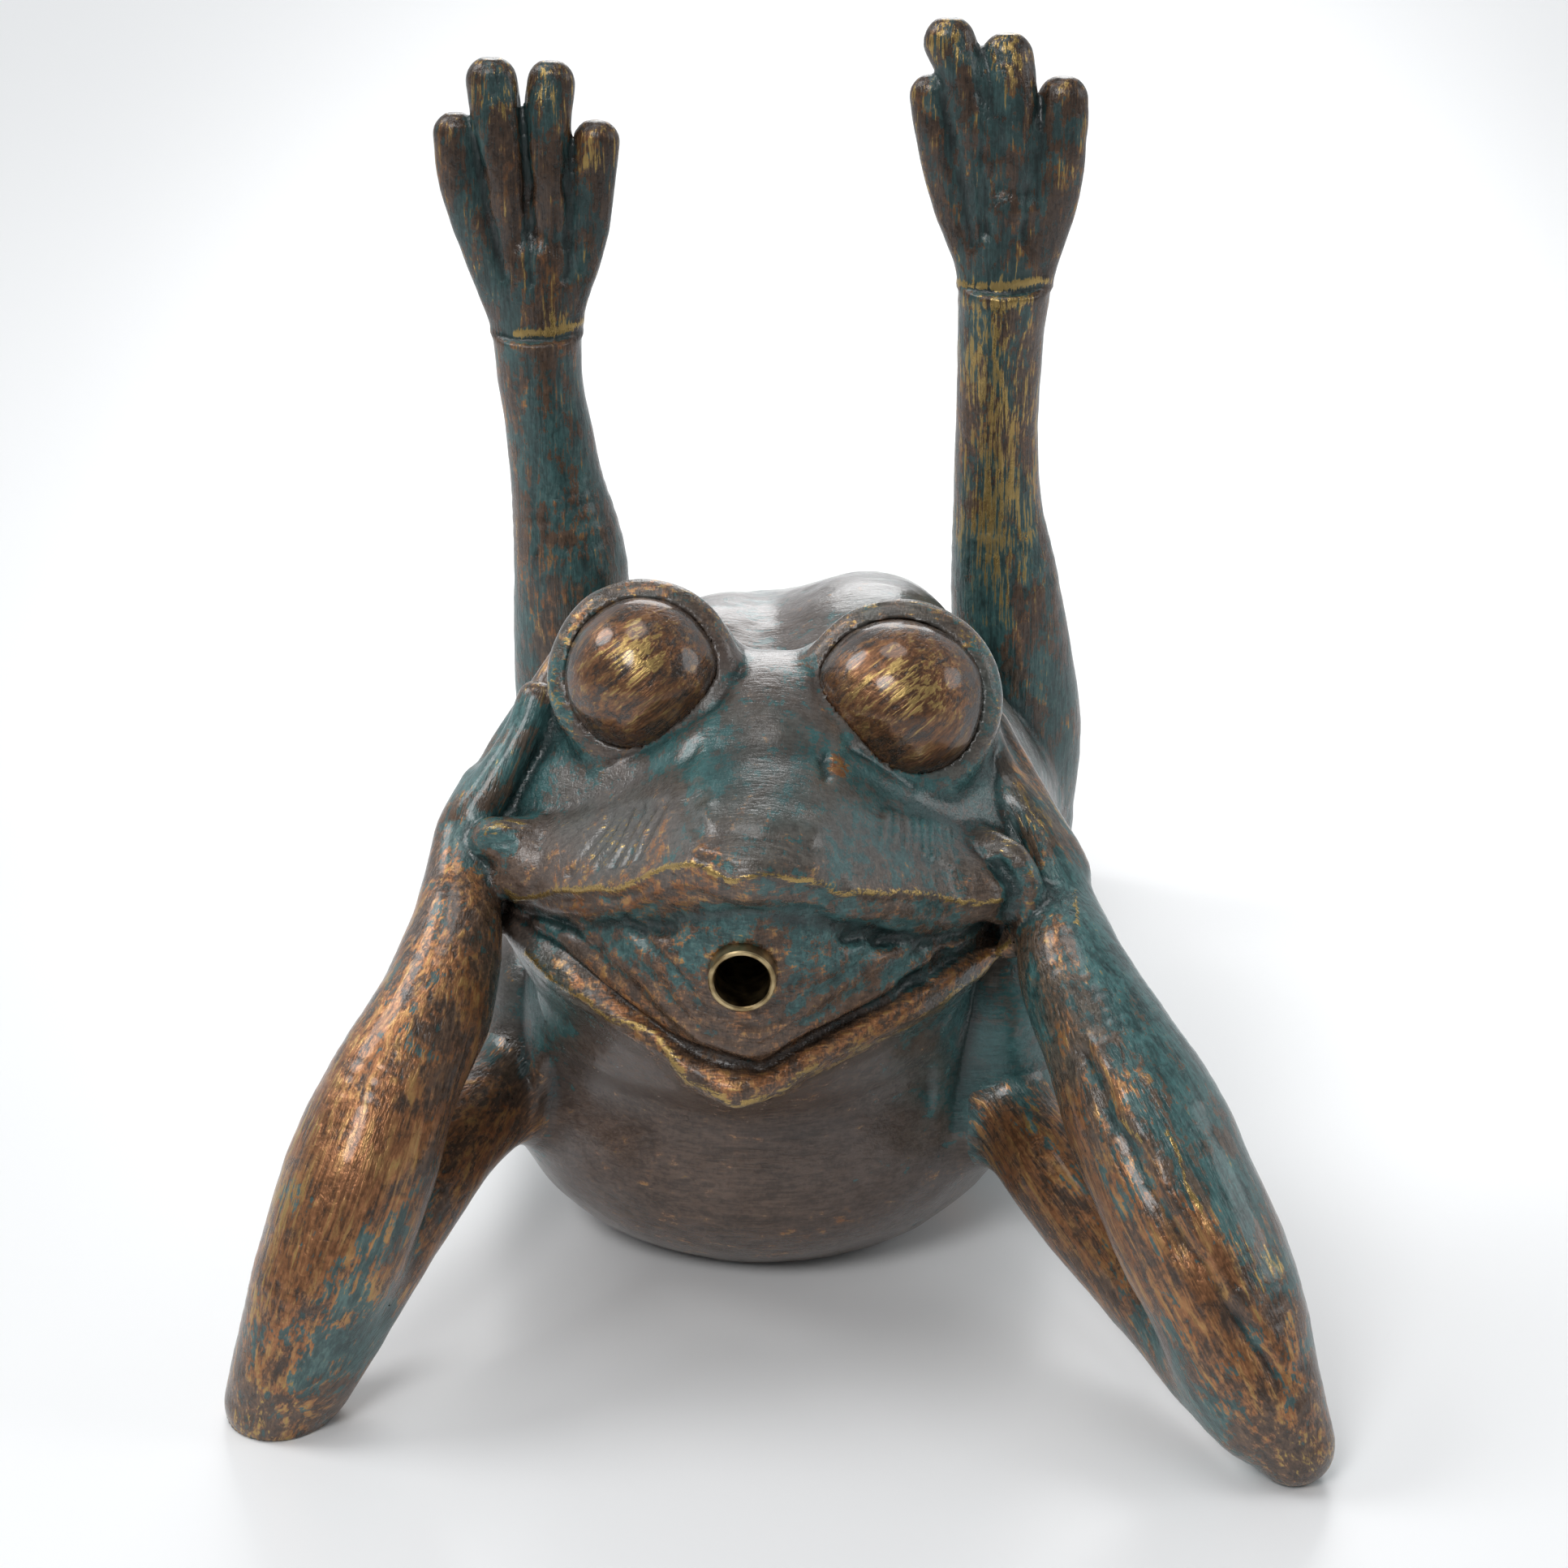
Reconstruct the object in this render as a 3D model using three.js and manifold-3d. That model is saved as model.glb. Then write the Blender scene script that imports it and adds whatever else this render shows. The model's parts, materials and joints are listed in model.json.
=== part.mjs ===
// Frog water spitter: a hollow cast garden figure. The frog lies on its belly, props its head
// on its hands and elbows, raises both feet behind it and squirts water from a brass tube in
// its mouth. Millimetres, +Z up. The frog faces -Y, and its own left side is +X.

import * as THREE from "three";
import { mergeVertices } from "three/addons/utils/BufferGeometryUtils.js";
import Module from "manifold-3d";

const wasm = await Module();
wasm.setup();

// Fits
const SEAM = 0.3; // glue gap between castings, and clearance round dowels and fittings
const CASTING_WALL = 7;
const CUT_PAST = 1; // how far a cut runs past the face that it opens
const ROUNDNESS = 0.9; // power of the body's round sections: 1 is an ellipse, less is squarer
const BELLY_FLOOR = 8; // thickness of the flat floor under the belly

// Torso
const CHEST_SETBACK = 18; // front of the chest behind the frame's zero
const TORSO_LENGTH = 188;
const TORSO_WIDTH = 122;
const TORSO_HEIGHT = 91.5; // the back between the humps
const TORSO_AXIS_HEIGHT = 40;
const TORSO_SHARPNESS = 2.6; // how square the torso's two ends are
const CHEST_AXIS_HEIGHT = 27; // the chest bulges lower than the rest
const CHEST_SHARE = 0.4; // part of the torso's length that drops towards the chest
const BELLY_SINK = 3; // how deep the round belly form is cut flat
const HUMP_SPACING = 32; // between the two hip humps beside the spine
const HUMP_SWAY = 2; // both humps towards the frog's left
const HUMP_WIDTH = 35;
const HUMP_LENGTH = 68;
const HUMP_DEPTH = 40;
const HUMP_HEIGHT = 98.5;
const HUMP_STAGGER = 7; // left hump above the right one
const HUMP_SETBACK = 122; // hip humps behind the front of the chest
const BULGE = { width: 29, length: 44, depth: 38 }; // round of each shoulder
const BULGE_SPACING = 87;
const BULGE_SETBACK = 38; // shoulder bulges behind the front of the chest
const BULGE_HEIGHT = 51;
const NECK_CLEARANCE = 4; // room round the hose where it passes through the neck
const NECK_SHARE = 0.3; // place of the neck between the hose's two ends

// Head
const SNOUT_REACH = 32; // snout in front of the chest
const HEAD_LENGTH = 98;
const HEAD_SHARPNESS = 2.4; // how square the head's two ends are
const HEAD_WIDTH = 105; // across the corners of the mouth
const LIP_HEIGHT = 87; // corners of the mouth above the floor
const CORNER_SETBACK = 44; // corners of the mouth behind the snout
const SNOUT_LIFT = 20; // rise of the upper lip towards the snout
const CHIN_DROP = 16; // fall of the lower lip towards the chin
const CROWN_RISE = 38; // crown above the corners of the mouth
const BROW_BLEND = 0.55; // share of the snout's lift that the crown makes up for
const BROW_LEAST = 4; // least height of the skull above the upper lip
const SKULL_CREST = 1.5; // how far the skull is drawn up to a ridge between the eyes
const LIP_DEPTH = 9; // upper lip below its own edge
const LIP_CURVE = 1.1; // power of the lips' rise and fall towards the front
const THROAT_DEPTH = 44; // throat below the corners of the mouth
const CHIN_SETBACK = 4; // lower lip behind the upper lip
const MOUTH_RECESS = 4.5; // mouth plate behind the lips
const JAW_INSET = 1.5; // lower jaw inside the upper lip at each side
const HOLLOW_DEPTH = 20; // room inside the head below the lower lip
const HEAD_YAW = -0.6; // degrees, the face turned a little to the frog's right
const HEAD_ROLL = 2.3; // degrees, the head tipped a little to the frog's left

// Eyes
const EYE_DIAMETER = 29;
const EYE_SHARE = 0.457; // between the eye centres, as a share of the head's width
const EYE_SPACING = EYE_SHARE * HEAD_WIDTH;
const EYE_SETBACK = 54; // eye centres behind the snout
const EYE_RISE = 34; // eye centres above the corners of the mouth
const EYE_RIM = 4.6; // thickness of the raised lid ring
const EYE_RIM_GAP = 1.4; // middle of the lid ring outside the ball
const SOCKET_MARGIN = 3.4; // bulge behind an eye outside the ball
const SOCKET_SETBACK = 9.2; // bulge behind the middle of the eye
const EYE_LOOK_UP = 25; // degrees

// Arms
const ELBOW_SPREAD = 179;
const ELBOW_SWAY = 6.6; // both elbows towards the frog's left
const ELBOW_REACH = 44; // elbows in front of the chest
const ELBOW_STAGGER = 8; // left elbow in front of the right one
const ELBOW_WIDTH = 21;
const ELBOW_SINK = 2.1; // how deep the round elbows are cut flat
const FOREARM_WIDTH = 28;
const FOREARM_UPPER_WIDTH = 25; // nearer to the wrist
const FOREARM_PLACES = [0.4, 0.72]; // where the two widths lie between elbow and wrist
const FOREARM_BOW = 12;
const WRIST_WIDTH = 14;
const WRIST_OUT = 3; // wrists outside the corners of the mouth
const WRIST_AHEAD = 2; // wrists in front of the corners of the mouth
const WRIST_DROP = 3; // wrists below the corners of the mouth
const UPPER_ARM_WIDTH = 20;
const UPPER_ARM_END_WIDTH = 17.6; // at the elbow
const RIGHT_ARM_BOW = 8; // rise of the upper arm between shoulder and elbow
const LEFT_ARM_BOW = -2;
const SHOULDER_SPACING = 86;
const SHOULDER_HEIGHT = 38;
const SHOULDER_SETBACK = 28; // shoulders behind the front of the chest
const PALM_LENGTH = 15.6; // from the wrist to the roots of the fingers
const PALM_LEAN = 50; // degrees, the palm leant back from upright
const FINGER_WIDTH = 9;
const FINGER_THICKNESS = 7;
const FINGER_LENGTH = 24;
const FINGER_LEANS = [28, 44]; // degrees, each finger leant back from upright
const FINGER_INWARD = 0.42; // how far the fingers lean in, as a share of their length

// Legs and feet
const HIP_SPACING = 56;
const HIP_HEIGHT = 56;
const HIP_SETBACK = 130; // hips behind the front of the chest
const THIGH_WIDTH = 42;
const THIGH_MIDDLE_WIDTH = 40;
const KNEE_SPACING = 98;
const KNEE_SETBACK = 184; // knees behind the front of the chest
const KNEE_HEIGHT = 14;
const KNEE_WIDTH = 30;
const SHIN_WIDTH = 26.5;
const SHIN_HEIGHT = 48; // where the shin is measured, between knee and calf
const RIGHT_SHIN_OUT = 50;
const LEFT_SHIN_OUT = 52;
const CALF_WIDTH = 25.5;
const CALF_HEIGHT = 82;
const CALF_AHEAD = 3.9; // calf in front of the line from knee to ankle
const RIGHT_CALF_OUT = 50.4;
const LEFT_CALF_OUT = 48;
const LOWER_SHIN_WIDTH = 19; // half-way from calf to ankle
const ANKLE_WIDTH = 20;
const ANKLE_AHEAD = 3; // ankles in front of the knees
const RIGHT_ANKLE_HEIGHT = 138;
const LEFT_ANKLE_HEIGHT = 150;
const RIGHT_ANKLE_OUT = 57;
const LEFT_ANKLE_OUT = 46;
const TOE_LENGTH = 53;
const OUTER_TOE_LENGTH = 46;
const TOE_WIDTH = 10.5;
const TOE_THICKNESS = 9;
const TOE_CURL = 3; // toe tips behind the ankle
const TOE_BOW = 1.5; // knuckle of a toe in front of the line to its tip
const TOE_KNUCKLE = { out: 0.78, up: 0.55 }; // its place on the way to the tip
const TOE_FAN = 38; // degrees between the outer toes
const TOE_LEANS = [-0.55, -0.22, 0.1, 0.44]; // place of each toe in the fan
const LEFT_FOOT_TWIST = -3; // degrees
const SOLE_THICKNESS = 11;
const SOLE_LENGTH = 27.6; // from the ankle to the ball of the foot
const ARCH = { width: 25.6, thickness: 13.2 };
const FOOT_BALL = { width: 27.2, thickness: 9.2 };

// Dowels and rods
const SHOULDER_DOWEL = { diameter: 5, length: 28 };
const HIP_DOWEL = { diameter: 6, length: 34 };
const ELBOW_PIN_DIAMETER = 4;
const ELBOW_PIN_SHARE = 0.32; // place of the pin between the elbow and the far ends of both arms
const LEG_ROD_DIAMETER = 5;
const LEG_ROD_GRIP = 20; // rod length that stands in the foot

// Water way
const SPOUT_DIAMETER = 12;
const SPOUT_WALL = 1;
const SPOUT_LENGTH = 48;
const SPOUT_DROP = 1.5; // spout below the corners of the mouth
const SPOUT_TIP_SETBACK = 2; // spout tip behind the snout
const HOSE_WALL = 2;
const HOSE_GRIP = 18; // hose length pushed over each stub
const CLAMP_THICKNESS = 1.4;
const CLAMP_WIDTH = 8;
const CLAMP_EAR = 5;
const INLET_HEIGHT = 34;
const INLET_BORE = 9;
const INLET_SHANK = 17; // threaded shank diameter
const INLET_FLANGE = { diameter: 26, thickness: 3 };
const FLANGE_CLEARANCE = 0.6; // round the flange in its seat
const INLET_BARB = { diameter: 14, length: 24, rings: 3, depth: 1, slope: 0.9 };
const INLET_PAD = 12; // wall thickness where the shank passes
const INLET_SPOT_DEPTH = 4; // flat seat cut into the rump
const NUT_WIDTH = 26; // across corners
const NUT_THICKNESS = 6;
const SEAL_THICKNESS = 2;

// Belly plug
const PLUG_WIDTH = 44;
const PLUG_LENGTH = 66;
const PLUG_THICKNESS = 4;
const PLUG_LEDGE = 4; // width of the ledge that the plug is glued to
const PLUG_RECESS = 0.8; // plug above the floor
const PLUG_SETBACK = 92; // plug behind the front of the chest

// Places worked out from the driving sizes
const RIGHT = -1;
const LEFT = 1;
const rumpY = CHEST_SETBACK + TORSO_LENGTH;
const snoutY = CHEST_SETBACK - SNOUT_REACH;
const cornerY = snoutY + CORNER_SETBACK;
const spoutZ = LIP_HEIGHT - SPOUT_DROP;
const spoutTipY = snoutY + SPOUT_TIP_SETBACK;
const spoutRearY = spoutTipY + SPOUT_LENGTH;
const inletSeatY = rumpY - INLET_SPOT_DEPTH;
const inletPadY = inletSeatY - INLET_PAD;
const hoseBore = SPOUT_DIAMETER + 2 * SEAM;
const hoseDiameter = hoseBore + 2 * HOSE_WALL;
const stubTipY = inletPadY - SEAM - NUT_THICKNESS - SEAM - HOSE_GRIP - SEAM;

const headTurn = new THREE.Matrix4()
  .makeTranslation(0, snoutY, LIP_HEIGHT)
  .multiply(new THREE.Matrix4().makeRotationZ(THREE.MathUtils.degToRad(HEAD_YAW)))
  .multiply(new THREE.Matrix4().makeRotationY(THREE.MathUtils.degToRad(HEAD_ROLL)))
  .multiply(new THREE.Matrix4().makeTranslation(0, -snoutY, -LIP_HEIGHT));

// Solids

function vec(x, y, z) {
  return new THREE.Vector3(x, y, z);
}

function onHead(x, y, z) {
  return vec(x, y, z).applyMatrix4(headTurn);
}

function solid(geometry) {
  const bare = geometry.clone();
  bare.deleteAttribute("normal");
  bare.deleteAttribute("uv");
  const merged = mergeVertices(bare, 1e-4);
  return new wasm.Manifold(
    new wasm.Mesh({
      numProp: 3,
      vertProperties: new Float32Array(merged.attributes.position.array),
      triVerts: new Uint32Array(merged.index.array),
    }),
  );
}

function geometryOf(body) {
  const mesh = body.getMesh();
  const geometry = new THREE.BufferGeometry();
  geometry.setAttribute("position", new THREE.BufferAttribute(mesh.vertProperties, 3));
  geometry.setIndex(new THREE.BufferAttribute(mesh.triVerts, 1));
  geometry.computeVertexNormals();
  return geometry;
}

function union(bodies) {
  return bodies.reduce((sum, body) => sum.add(body));
}

// A closed skin over rings of points, with one point at each end.
function skin(start, rings, end) {
  const count = rings[0].length;
  const points = [start, ...rings.flat(), end];
  const index = [];
  const last = points.length - 1;
  for (let i = 0; i < count; i += 1) {
    const next = (i + 1) % count;
    index.push(0, 1 + next, 1 + i);
    for (let r = 0; r < rings.length - 1; r += 1) {
      const near = 1 + r * count;
      const far = near + count;
      index.push(near + i, near + next, far + next);
      index.push(near + i, far + next, far + i);
    }
    const rim = last - count;
    index.push(rim + i, rim + next, last);
  }
  const geometry = new THREE.BufferGeometry().setFromPoints(points);
  const volume = index.reduce((sum, _, k) => {
    if (k % 3) return sum;
    const [a, b, c] = [0, 1, 2].map((j) => points[index[k + j]]);
    return sum + a.dot(vec(0, 0, 0).crossVectors(b, c));
  }, 0);
  geometry.setIndex(volume < 0 ? index.reverse() : index);
  return solid(geometry);
}

function ball(centre, radii, columns = 16, rows = 10) {
  const geometry = new THREE.SphereGeometry(1, columns, rows);
  geometry.scale(radii.x, radii.y, radii.z);
  geometry.translate(centre.x, centre.y, centre.z);
  return solid(geometry);
}

function roundBall(centre, radius, columns, rows) {
  return ball(centre, vec(radius, radius, radius), columns, rows);
}

function bar(from, to, diameter, facets = 16) {
  const along = to.clone().sub(from);
  const geometry = new THREE.CylinderGeometry(diameter / 2, diameter / 2, along.length(), facets);
  const turn = new THREE.Quaternion().setFromUnitVectors(vec(0, 1, 0), along.normalize());
  geometry.applyQuaternion(turn);
  const middle = from.clone().add(to).multiplyScalar(0.5);
  geometry.translate(middle.x, middle.y, middle.z);
  return solid(geometry);
}

// Everything above or below a level, as a block wide enough for the whole frog
const blockSize = 4 * (TORSO_LENGTH + ELBOW_SPREAD + LEFT_ANKLE_HEIGHT + HEAD_LENGTH);

function above(level) {
  const geometry = new THREE.BoxGeometry(blockSize, blockSize, blockSize);
  geometry.translate(0, 0, level + blockSize / 2);
  return solid(geometry);
}

function below(level) {
  const geometry = new THREE.BoxGeometry(blockSize, blockSize, blockSize);
  geometry.translate(0, 0, level - blockSize / 2);
  return solid(geometry);
}

// A smooth curve through keys of the form [position, value, value, ...]
function profile(keys) {
  const places = keys.map((key) => key[0]);
  const values = keys.flatMap((key) => key.slice(1));
  const curve = new THREE.CubicInterpolant(places, values, keys[0].length - 1);
  return (place) => Array.from(curve.evaluate(place));
}

function signedPower(value, power) {
  return Math.sign(value) * Math.abs(value) ** power;
}

// Roundness of a form's two ends, along it from 0 to 1
function dome(along, sharpness) {
  return Math.max(1 - Math.abs(2 * along - 1) ** sharpness, 0) ** (1 / sharpness);
}

// A body form along Y: section(along) gives half-width, level, rise above it and fall below it.
// A crest over 1 draws the upper half of each section up to a ridge.
function bodyForm({ front, length, section, sharpness, crest = ROUNDNESS, columns, rows, grow }) {
  const from = front - grow;
  const size = length + 2 * grow;
  const rings = [];
  for (let r = 1; r < rows; r += 1) {
    const along = (1 - Math.cos((Math.PI * r) / rows)) / 2;
    const round = dome(along, sharpness);
    const [half, level, rise, fall] = section(along);
    const ring = [];
    for (let c = 0; c < columns; c += 1) {
      const angle = (2 * Math.PI * c) / columns;
      const power = Math.sin(angle) > 0 ? crest : ROUNDNESS;
      const side = signedPower(Math.cos(angle), power) * (half * round + grow * Math.sqrt(round));
      const lift = signedPower(Math.sin(angle), power);
      const reach = (lift > 0 ? rise : fall) * round + grow * Math.sqrt(round);
      ring.push(vec(side, from + along * size, level + lift * reach));
    }
    rings.push(ring);
  }
  const startLevel = section(0)[1];
  const endLevel = section(1)[1];
  return skin(vec(0, from, startLevel), rings, vec(0, from + size, endLevel));
}

// A limb along a curve through its keys: { at, across, deep } with half-sizes. The half-size
// across lies along the wide direction. Both ends are rounded.
function limb(keys, { wide = vec(1, 0, 0), columns = 12, steps = 3, grow = 0 } = {}) {
  const curve = new THREE.CatmullRomCurve3(
    keys.map((key) => key.at),
    false,
    "centripetal",
  );
  const sizes = profile(keys.map((key, i) => [i / (keys.length - 1), key.across, key.deep]));
  const count = (keys.length - 1) * steps;
  const stations = [];
  const capAngles = [60, 30].map(THREE.MathUtils.degToRad);
  const station = (place, push, shrink) => stations.push({ place, push, shrink });
  capAngles.forEach((angle) => station(0, -Math.sin(angle), Math.cos(angle)));
  for (let i = 0; i <= count; i += 1) {
    station(i / count, 0, 1);
  }
  capAngles.toReversed().forEach((angle) => station(1, Math.sin(angle), Math.cos(angle)));
  const centreAt = ({ place, push }) => {
    const [across, deep] = sizes(place);
    const reach = push * (Math.min(across, deep) + grow);
    return curve.getPoint(place).addScaledVector(curve.getTangent(place), reach);
  };
  const rings = stations.map((spot) => {
    const centre = centreAt(spot);
    const tangent = curve.getTangent(spot.place);
    const axis = wide.clone().addScaledVector(tangent, -wide.dot(tangent)).normalize();
    const normal = vec(0, 0, 0).crossVectors(tangent, axis);
    const [across, deep] = sizes(spot.place).map((size) => (size + grow) * spot.shrink);
    return Array.from({ length: columns }, (_, c) => {
      const angle = (2 * Math.PI * c) / columns;
      return centre
        .clone()
        .addScaledVector(axis, across * Math.cos(angle))
        .addScaledVector(normal, deep * Math.sin(angle));
    });
  });
  return skin(centreAt({ place: 0, push: -1 }), rings, centreAt({ place: 1, push: 1 }));
}

// Torso

// Shares of the torso's half-width, back height and belly depth along its length
const torsoShares = profile([
  [0, 0.8, 0.42, 1.3],
  [0.1, 0.98, 0.78, 1.3],
  [0.2, 0.98, 0.92, 1.12],
  [0.36, 0.95, 0.94, 1.02],
  [0.54, 1, 0.985, 1],
  [0.7, 0.95, 1.03, 1],
  [0.84, 0.94, 1.09, 1],
  [1, 0.92, 1, 1],
]);

function torsoSection(along) {
  const [wide, back, belly] = torsoShares(along);
  const forward = Math.max(1 - along / CHEST_SHARE, 0) ** 2;
  const level = TORSO_AXIS_HEIGHT + (CHEST_AXIS_HEIGHT - TORSO_AXIS_HEIGHT) * forward;
  const rise = (TORSO_HEIGHT - level) * back;
  const fall = (level + BELLY_SINK) * belly;
  return [(TORSO_WIDTH / 2) * wide, level, rise, fall];
}

function torsoForm(grow, columns, rows) {
  return bodyForm({
    front: CHEST_SETBACK,
    length: TORSO_LENGTH,
    section: torsoSection,
    sharpness: TORSO_SHARPNESS,
    columns,
    rows,
    grow,
  });
}

function hipHump(side, grow) {
  const radii = vec(HUMP_WIDTH / 2, HUMP_LENGTH / 2, HUMP_DEPTH / 2);
  const centre = vec(
    HUMP_SWAY + (side * HUMP_SPACING) / 2,
    CHEST_SETBACK + HUMP_SETBACK,
    HUMP_HEIGHT + (side * HUMP_STAGGER) / 2 - radii.z,
  );
  return ball(centre, radii.addScalar(grow));
}

const bulgeRadii = vec(BULGE.width / 2, BULGE.length / 2, BULGE.depth / 2);

function bulgeCentre(side) {
  return vec((side * BULGE_SPACING) / 2, CHEST_SETBACK + BULGE_SETBACK, BULGE_HEIGHT);
}

function shoulderBulge(side, grow) {
  return ball(bulgeCentre(side), bulgeRadii.clone().addScalar(grow));
}

const torsoMesh = { columns: 22, rows: 18 };

function torsoOuter(grow) {
  const rounds = [RIGHT, LEFT].flatMap((side) => [hipHump(side, grow), shoulderBulge(side, grow)]);
  return union([torsoForm(grow, torsoMesh.columns, torsoMesh.rows), ...rounds]);
}

const torsoSkin = torsoOuter(0);
const torsoKeepOut = torsoOuter(SEAM);

// Where a straight line from inside the torso to a point outside comes out of its skin
function torsoExit(inside, outside) {
  const inBulge = (point, side) => {
    return point.clone().sub(bulgeCentre(side)).divide(bulgeRadii).length() < 1;
  };
  const holds = (point) => {
    if (inBulge(point, RIGHT) || inBulge(point, LEFT)) return true;
    const along = (point.y - CHEST_SETBACK) / TORSO_LENGTH;
    if (along <= 0 || along >= 1) return false;
    const round = dome(along, TORSO_SHARPNESS);
    const [half, level, rise, fall] = torsoSection(along);
    const side = Math.abs(point.x) / (half * round);
    const lift = (point.z - level) / ((point.z > level ? rise : fall) * round);
    return Math.hypot(side, lift) < 1;
  };
  const halvings = 24;
  let near = 0;
  let far = 1;
  for (let i = 0; i < halvings; i += 1) {
    const middle = (near + far) / 2;
    if (holds(inside.clone().lerp(outside, middle))) near = middle;
    else far = middle;
  }
  return inside.clone().lerp(outside, near);
}

// The hose runs straight off both stubs and bends down through the neck between them.
const spoutEnd = vec(0, spoutRearY, spoutZ);
const inletEnd = vec(0, stubTipY, INLET_HEIGHT);

function hoseBend() {
  const lead = vec(0, hoseDiameter / 2, 0);
  return [
    spoutEnd.clone(),
    spoutEnd.clone().add(lead),
    spoutEnd.clone().lerp(inletEnd, NECK_SHARE),
    inletEnd.clone().sub(lead),
    inletEnd.clone(),
  ];
}

function hosePassage() {
  const shape = new THREE.Shape();
  shape.absarc(0, 0, hoseDiameter / 2 + NECK_CLEARANCE, 0, 2 * Math.PI);
  const extrudePath = new THREE.CatmullRomCurve3(hoseBend(), false, "centripetal");
  return solid(new THREE.ExtrudeGeometry(shape, { steps: 14, curveSegments: 6, extrudePath }));
}

function ovalBlock(width, length, from, to) {
  const shape = new THREE.Shape();
  shape.absellipse(0, 0, width / 2, length / 2, 0, 2 * Math.PI);
  const options = { depth: to - from, bevelEnabled: false, curveSegments: 12 };
  const geometry = new THREE.ExtrudeGeometry(shape, options);
  geometry.translate(0, CHEST_SETBACK + PLUG_SETBACK, from);
  return solid(geometry);
}

function alongInlet(fromY, toY, diameter) {
  return bar(vec(0, fromY, INLET_HEIGHT), vec(0, toY, INLET_HEIGHT), diameter, 20);
}

const plugTop = PLUG_RECESS + PLUG_THICKNESS;

function torso() {
  const cavity = torsoForm(-CASTING_WALL, 16, 12).intersect(above(BELLY_FLOOR));
  const pad = alongInlet(inletPadY, rumpY, INLET_FLANGE.diameter + CASTING_WALL);
  const hollow = cavity.subtract(pad);
  const behind = rumpY + INLET_FLANGE.diameter;
  const dowels = [RIGHT, LEFT].flatMap((side) => [shoulderDowel(side, SEAM), hipDowel(side, SEAM)]);
  const holeWidth = PLUG_WIDTH - 2 * PLUG_LEDGE;
  const holeLength = PLUG_LENGTH - 2 * PLUG_LEDGE;
  return torsoSkin
    .intersect(above(0))
    .subtract(hollow)
    .subtract(union(dowels))
    .subtract(hosePassage())
    .subtract(alongInlet(inletPadY - CASTING_WALL, behind, INLET_SHANK + 2 * SEAM))
    .subtract(alongInlet(inletSeatY, behind, INLET_FLANGE.diameter + 2 * FLANGE_CLEARANCE))
    .subtract(ovalBlock(PLUG_WIDTH + 2 * SEAM, PLUG_LENGTH + 2 * SEAM, -CUT_PAST, plugTop + SEAM))
    .subtract(ovalBlock(holeWidth, holeLength, 0, BELLY_FLOOR + CUT_PAST));
}

// Head

// Share of the head's half-width along it, from the pointed snout past the mouth corners
const cornerShare = CORNER_SETBACK / HEAD_LENGTH;
const headPlan = profile([
  [0, 0.36],
  [cornerShare * 0.32, 0.58],
  [cornerShare * 0.65, 0.77],
  [cornerShare, 0.98],
  [cornerShare + 0.2, 1.02],
  [0.85, 1.05],
  [1, 1.08],
]);

// Shares of the crown's height and of the throat's depth along the head
const skullRise = profile([
  [0, 0.6],
  [0.2, 0.7],
  [0.4, 0.89],
  [0.6, 1.04],
  [0.8, 1.02],
  [1, 0.8],
]);

const throatFall = profile([
  [0, 0.22],
  [0.15, 0.46],
  [0.3, 0.92],
  [0.47, 1.03],
  [0.65, 0.9],
  [1, 0.8],
]);

// Height of a lip's edge, lifted or dropped towards the front of the mouth
function lipLevel(along, change) {
  const forward = Math.max(1 - along / cornerShare, 0);
  return LIP_HEIGHT + change * forward ** LIP_CURVE;
}

function skullSection(along) {
  const level = lipLevel(along, SNOUT_LIFT);
  const crown = CROWN_RISE * skullRise(along)[0];
  const rise = Math.max(crown - (level - LIP_HEIGHT) * BROW_BLEND, BROW_LEAST);
  return [(HEAD_WIDTH / 2) * headPlan(along)[0], level, rise, LIP_DEPTH];
}

function jawSection(along) {
  const level = lipLevel(along, -CHIN_DROP) - LIP_DEPTH;
  const fall = (THROAT_DEPTH - LIP_DEPTH) * throatFall(along)[0];
  return [(HEAD_WIDTH / 2) * headPlan(along)[0] - JAW_INSET, level, LIP_DEPTH, fall];
}

function mouthSection(along) {
  const lip = lipLevel(along, SNOUT_LIFT);
  const chin = lipLevel(along, -CHIN_DROP) - LIP_DEPTH;
  const half = (HEAD_WIDTH / 2) * headPlan(along)[0] - MOUTH_RECESS;
  const middle = (lip + chin) / 2;
  return [half, middle, lip - middle, middle - chin];
}

// The room inside the head, from throat to crown
function hollowSection(along) {
  const [half, lip, crown] = skullSection(along);
  const chin = jawSection(along)[1];
  const middle = (lip + chin) / 2;
  return [half - MOUTH_RECESS, middle, lip + crown - middle, middle - chin + HOLLOW_DEPTH];
}

function headBlock(section, setback, crest, grow, columns = 18, rows = 12) {
  return bodyForm({
    front: snoutY + setback,
    length: HEAD_LENGTH - setback,
    section,
    sharpness: HEAD_SHARPNESS,
    crest,
    columns,
    rows,
    grow,
  });
}

function faceForms(grow) {
  return union([
    headBlock(skullSection, 0, SKULL_CREST, grow),
    headBlock(mouthSection, MOUTH_RECESS, ROUNDNESS, grow),
    headBlock(jawSection, CHIN_SETBACK, ROUNDNESS, grow),
  ]).transform(headTurn.toArray());
}

function headHollow() {
  const setback = MOUTH_RECESS + CHIN_SETBACK;
  const hollow = headBlock(hollowSection, setback, SKULL_CREST, -CASTING_WALL, 16, 10);
  return hollow.transform(headTurn.toArray());
}

function eyeCentre(side) {
  return onHead((side * EYE_SPACING) / 2, snoutY + EYE_SETBACK, LIP_HEIGHT + EYE_RISE);
}

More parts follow.
